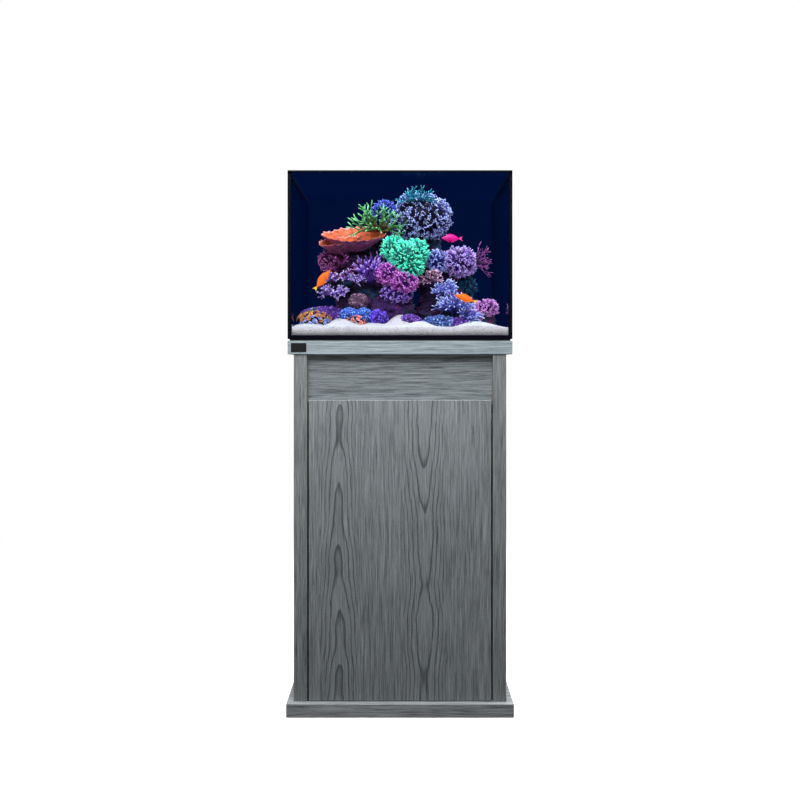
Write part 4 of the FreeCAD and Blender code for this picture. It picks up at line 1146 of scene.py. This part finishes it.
def fish_skin(name, head, flank, tail):
    """Scaled skin whose colour changes from the head to the flank and on to the tail, with a faint painted
    glow.
    """
    finish = Finish(name)
    place = finish.place()
    reach = finish.reach()
    scales = finish.cells(place, 900.0)
    cloud = finish.noise(place, 90.0)
    colour = finish.mix((reach + (cloud - 0.5) * 0.2).smooth(0.05, 0.45), head, flank)
    colour = finish.mix((reach + (cloud - 0.5) * 0.1).smooth(0.60, 0.85), colour, tail)
    # Painted glow: the emission brightens the skin under no lamp.
    finish.principled(base_color=finish.mix(scales.smooth(0.3, 0.6), colour, finish.tint(colour, 0.7)),
                      roughness=0.40 + cloud * 0.1, emission_color=colour, emission_strength=0.15,
                      normal=finish.bump(scales, 0.0002, 0.6), specular_ior_level=0.2)
    return finish


# Places along the body and how deep it is there, both as shares.
FISH_OUTLINE = ((0.00, 0.03), (0.03, 0.16), (0.08, 0.32), (0.16, 0.56), (0.26, 0.80), (0.38, 0.96),
                (0.50, 1.00), (0.62, 0.90), (0.73, 0.68), (0.82, 0.44), (0.90, 0.27), (0.96, 0.23),
                (1.00, 0.22))


def fin(shape, root, tips, thickness, side, reach):
    """A thin fin: a strip from the body's edge out to its tips, with faint rays."""
    rows = []
    columns = len(root)
    for lift in (0.0, 0.4, 0.75, 1.0):
        rows.append([root[k].lerp(tips[k], lift * (1.0 if k % 2 else 0.96)) for k in range(columns)])
    first = len(shape.points)
    for offset in (1, -1):
        for r, row in enumerate(rows):
            thin = thickness * (1 - 0.7 * r / (len(rows) - 1))
            shape.points.extend(spot + side * thin * offset for spot in row)
            shape.reach.extend([reach + 0.1 * r / 3] * columns)
    half = len(rows) * columns
    for r in range(len(rows) - 1):
        for k in range(columns - 1):
            a = first + r * columns + k
            shape.faces.append((a, a + 1, a + 1 + columns, a + columns))
            shape.faces.append((a + half, a + half + columns, a + half + columns + 1, a + half + 1))
        for k in (0, columns - 1):
            a = first + r * columns + k
            quad = (a, a + columns, a + columns + half, a + half)
            shape.faces.append(quad if k == 0 else quad[::-1])
    for r in (0, len(rows) - 1):
        for k in range(columns - 1):
            a = first + r * columns + k
            quad = (a, a + half, a + half + 1, a + 1)
            shape.faces.append(quad if r == 0 else quad[::-1])


def fish(name, skin, nose, tail, depth, seed):
    """A small reef fish from its nose to the end of its body; the tail fin goes beyond."""
    rng = random.Random(seed)
    ahead = tail - nose
    length = ahead.length
    ahead.normalize()
    side = ahead.cross(Vector((0, 0, 1))).normalized()
    up = side.cross(ahead).normalized()
    bend = rng.uniform(-0.03, 0.03)

    def spine(share):
        return nose + ahead * length * share + side * length * bend * share * share

    def edge(low, high, count, sign):
        """Points along the back (sign 1) or the belly (sign -1)."""
        spots = []
        for k in range(count):
            share = low + (high - low) * k / (count - 1)
            tall = 0.0
            for (a, ta), (b, tb) in zip(FISH_OUTLINE, FISH_OUTLINE[1:]):
                if a <= share <= b:
                    tall = ta + (tb - ta) * (share - a) / (b - a)
            spots.append(spine(share) + up * sign * (tall * 0.48) * depth)
        return spots

    shape = Shape()
    fish_body(shape, spine, side, up, depth)
    thin = length * 0.006
    top = edge(0.24, 0.88, 11, 1)
    tips = []
    for k, spot in enumerate(top):
        rise = math.sin(math.pi * (0.18 + 0.82 * k / 10)) * 0.5 + 0.5 * (1 - k / 10) + 0.1
        tips.append(spot + up * depth * 0.26 * rise + ahead * depth * 0.14)
    fin(shape, top, tips, thin, side, 0.5)
    under = edge(0.52, 0.88, 9, -1)
    tips = [spot - up * depth * 0.22 * (1.1 - k / 10) + ahead * depth * 0.12 for k, spot in enumerate(under)]
    fin(shape, under, tips, thin, side, 0.5)
    spreads = [k / 4 - 1 for k in range(9)]
    stem = [spine(0.97) + up * depth * 0.10 * spread for spread in spreads]
    tips = [spine(1.0) + (up * 0.42 * spread + ahead * (0.38 + 0.21 * spread * spread)) * depth
            for spread in spreads]
    fin(shape, stem, tips, thin, side, 0.85)
    for out in (side, -side):
        low = [spine(0.34) + (out * 0.17 + up * (0.02 - 0.03 * k)) * depth for k in range(5)]
        tips = [spot + (ahead * 0.24 + out * 0.12 - up * 0.05 * k) * depth for k, spot in enumerate(low)]
        fin(shape, low, tips, thin * 0.8, up, 0.6)
        low = [spine(0.30 + 0.02 * k) + (out * 0.04 - up * 0.42) * depth for k in range(4)]
        tips = [spot + (ahead * 0.26 - up * 0.20) * depth for spot in low]
        fin(shape, low, tips, thin * 0.8, side, 0.6)
    shape.piece(name, skin, "coral_orange")
    fish_eyes(name + "_eyes", spine, side, up, ahead, depth)


def fish_body(shape, spine, side, up, depth):
    """The body as rings along its spine, narrower than it is deep."""
    sides = 20
    rows = []
    for share, tall in FISH_OUTLINE:
        wide = 0.40 * tall * (1 - 0.3 * share)
        turns = [2 * math.pi * k / sides for k in range(sides)]
        ring = [spine(share) + around(side * wide, up * tall, turn) * depth / 2 for turn in turns]
        rows.append((ring, 0.3 + 0.25 * share))
    shape.rings(rows)


def fish_eyes(name, spine, side, up, ahead, depth):
    """Two dark domed eyes."""
    sides = 14
    eyes = Shape()
    for out in (side, -side):
        middle = spine(0.115) + (out * 0.088 + up * 0.05) * depth
        rows = []
        for share in (0.0, 0.35, 0.7, 0.95):
            radius = depth * 0.062 * math.sqrt(1 - share * share)
            turns = [2 * math.pi * k / sides for k in range(sides)]
            ring = [middle + around(ahead, up, turn) * radius + out * depth * 0.05 * share for turn in turns]
            rows.append((ring, 0.5))
        eyes.rings(rows)
    eyes.piece(name, moulded("fish_eye", (0.004, 0.004, 0.005), 0.08, 400.0, 0.00001), "nozzle_black")


def shoal():
    """The three fish, each from its nose to the end of its body."""
    orange = fish_skin("fish_orange_skin", (0.66, 0.045, 0.003), (0.90, 0.15, 0.004), (0.95, 0.58, 0.02))
    copper = fish_skin("fish_copper_skin", (0.66, 0.050, 0.003), (0.90, 0.16, 0.004), (0.95, 0.56, 0.02))
    magenta = fish_skin("fish_magenta_skin", (0.26, 0.003, 0.15), (0.66, 0.004, 0.20), (0.74, 0.05, 0.28))
    fish("fish_orange", orange, at(-191, -128, 150), at(-230, -122, 102), 0.0175, 1)
    fish("fish_copper", copper, at(149, -132, 82), at(203, -126, 64), 0.016, 2)
    fish("fish_magenta", magenta, at(114, -118, 238), at(164, -112, 237), 0.017, 3)


def build():
    camera()
    studio()
    dress_cabinet()
    dress_tank()
    dress_plumbing()
    dress_sump()
    water()
    sand()
    reef_rocks()
    plate_coral()
    crest_corals()
    mint_corals()
    middle_corals()
    right_corals()
    floor_corals()
    button_polyps()
    shoal()


build()
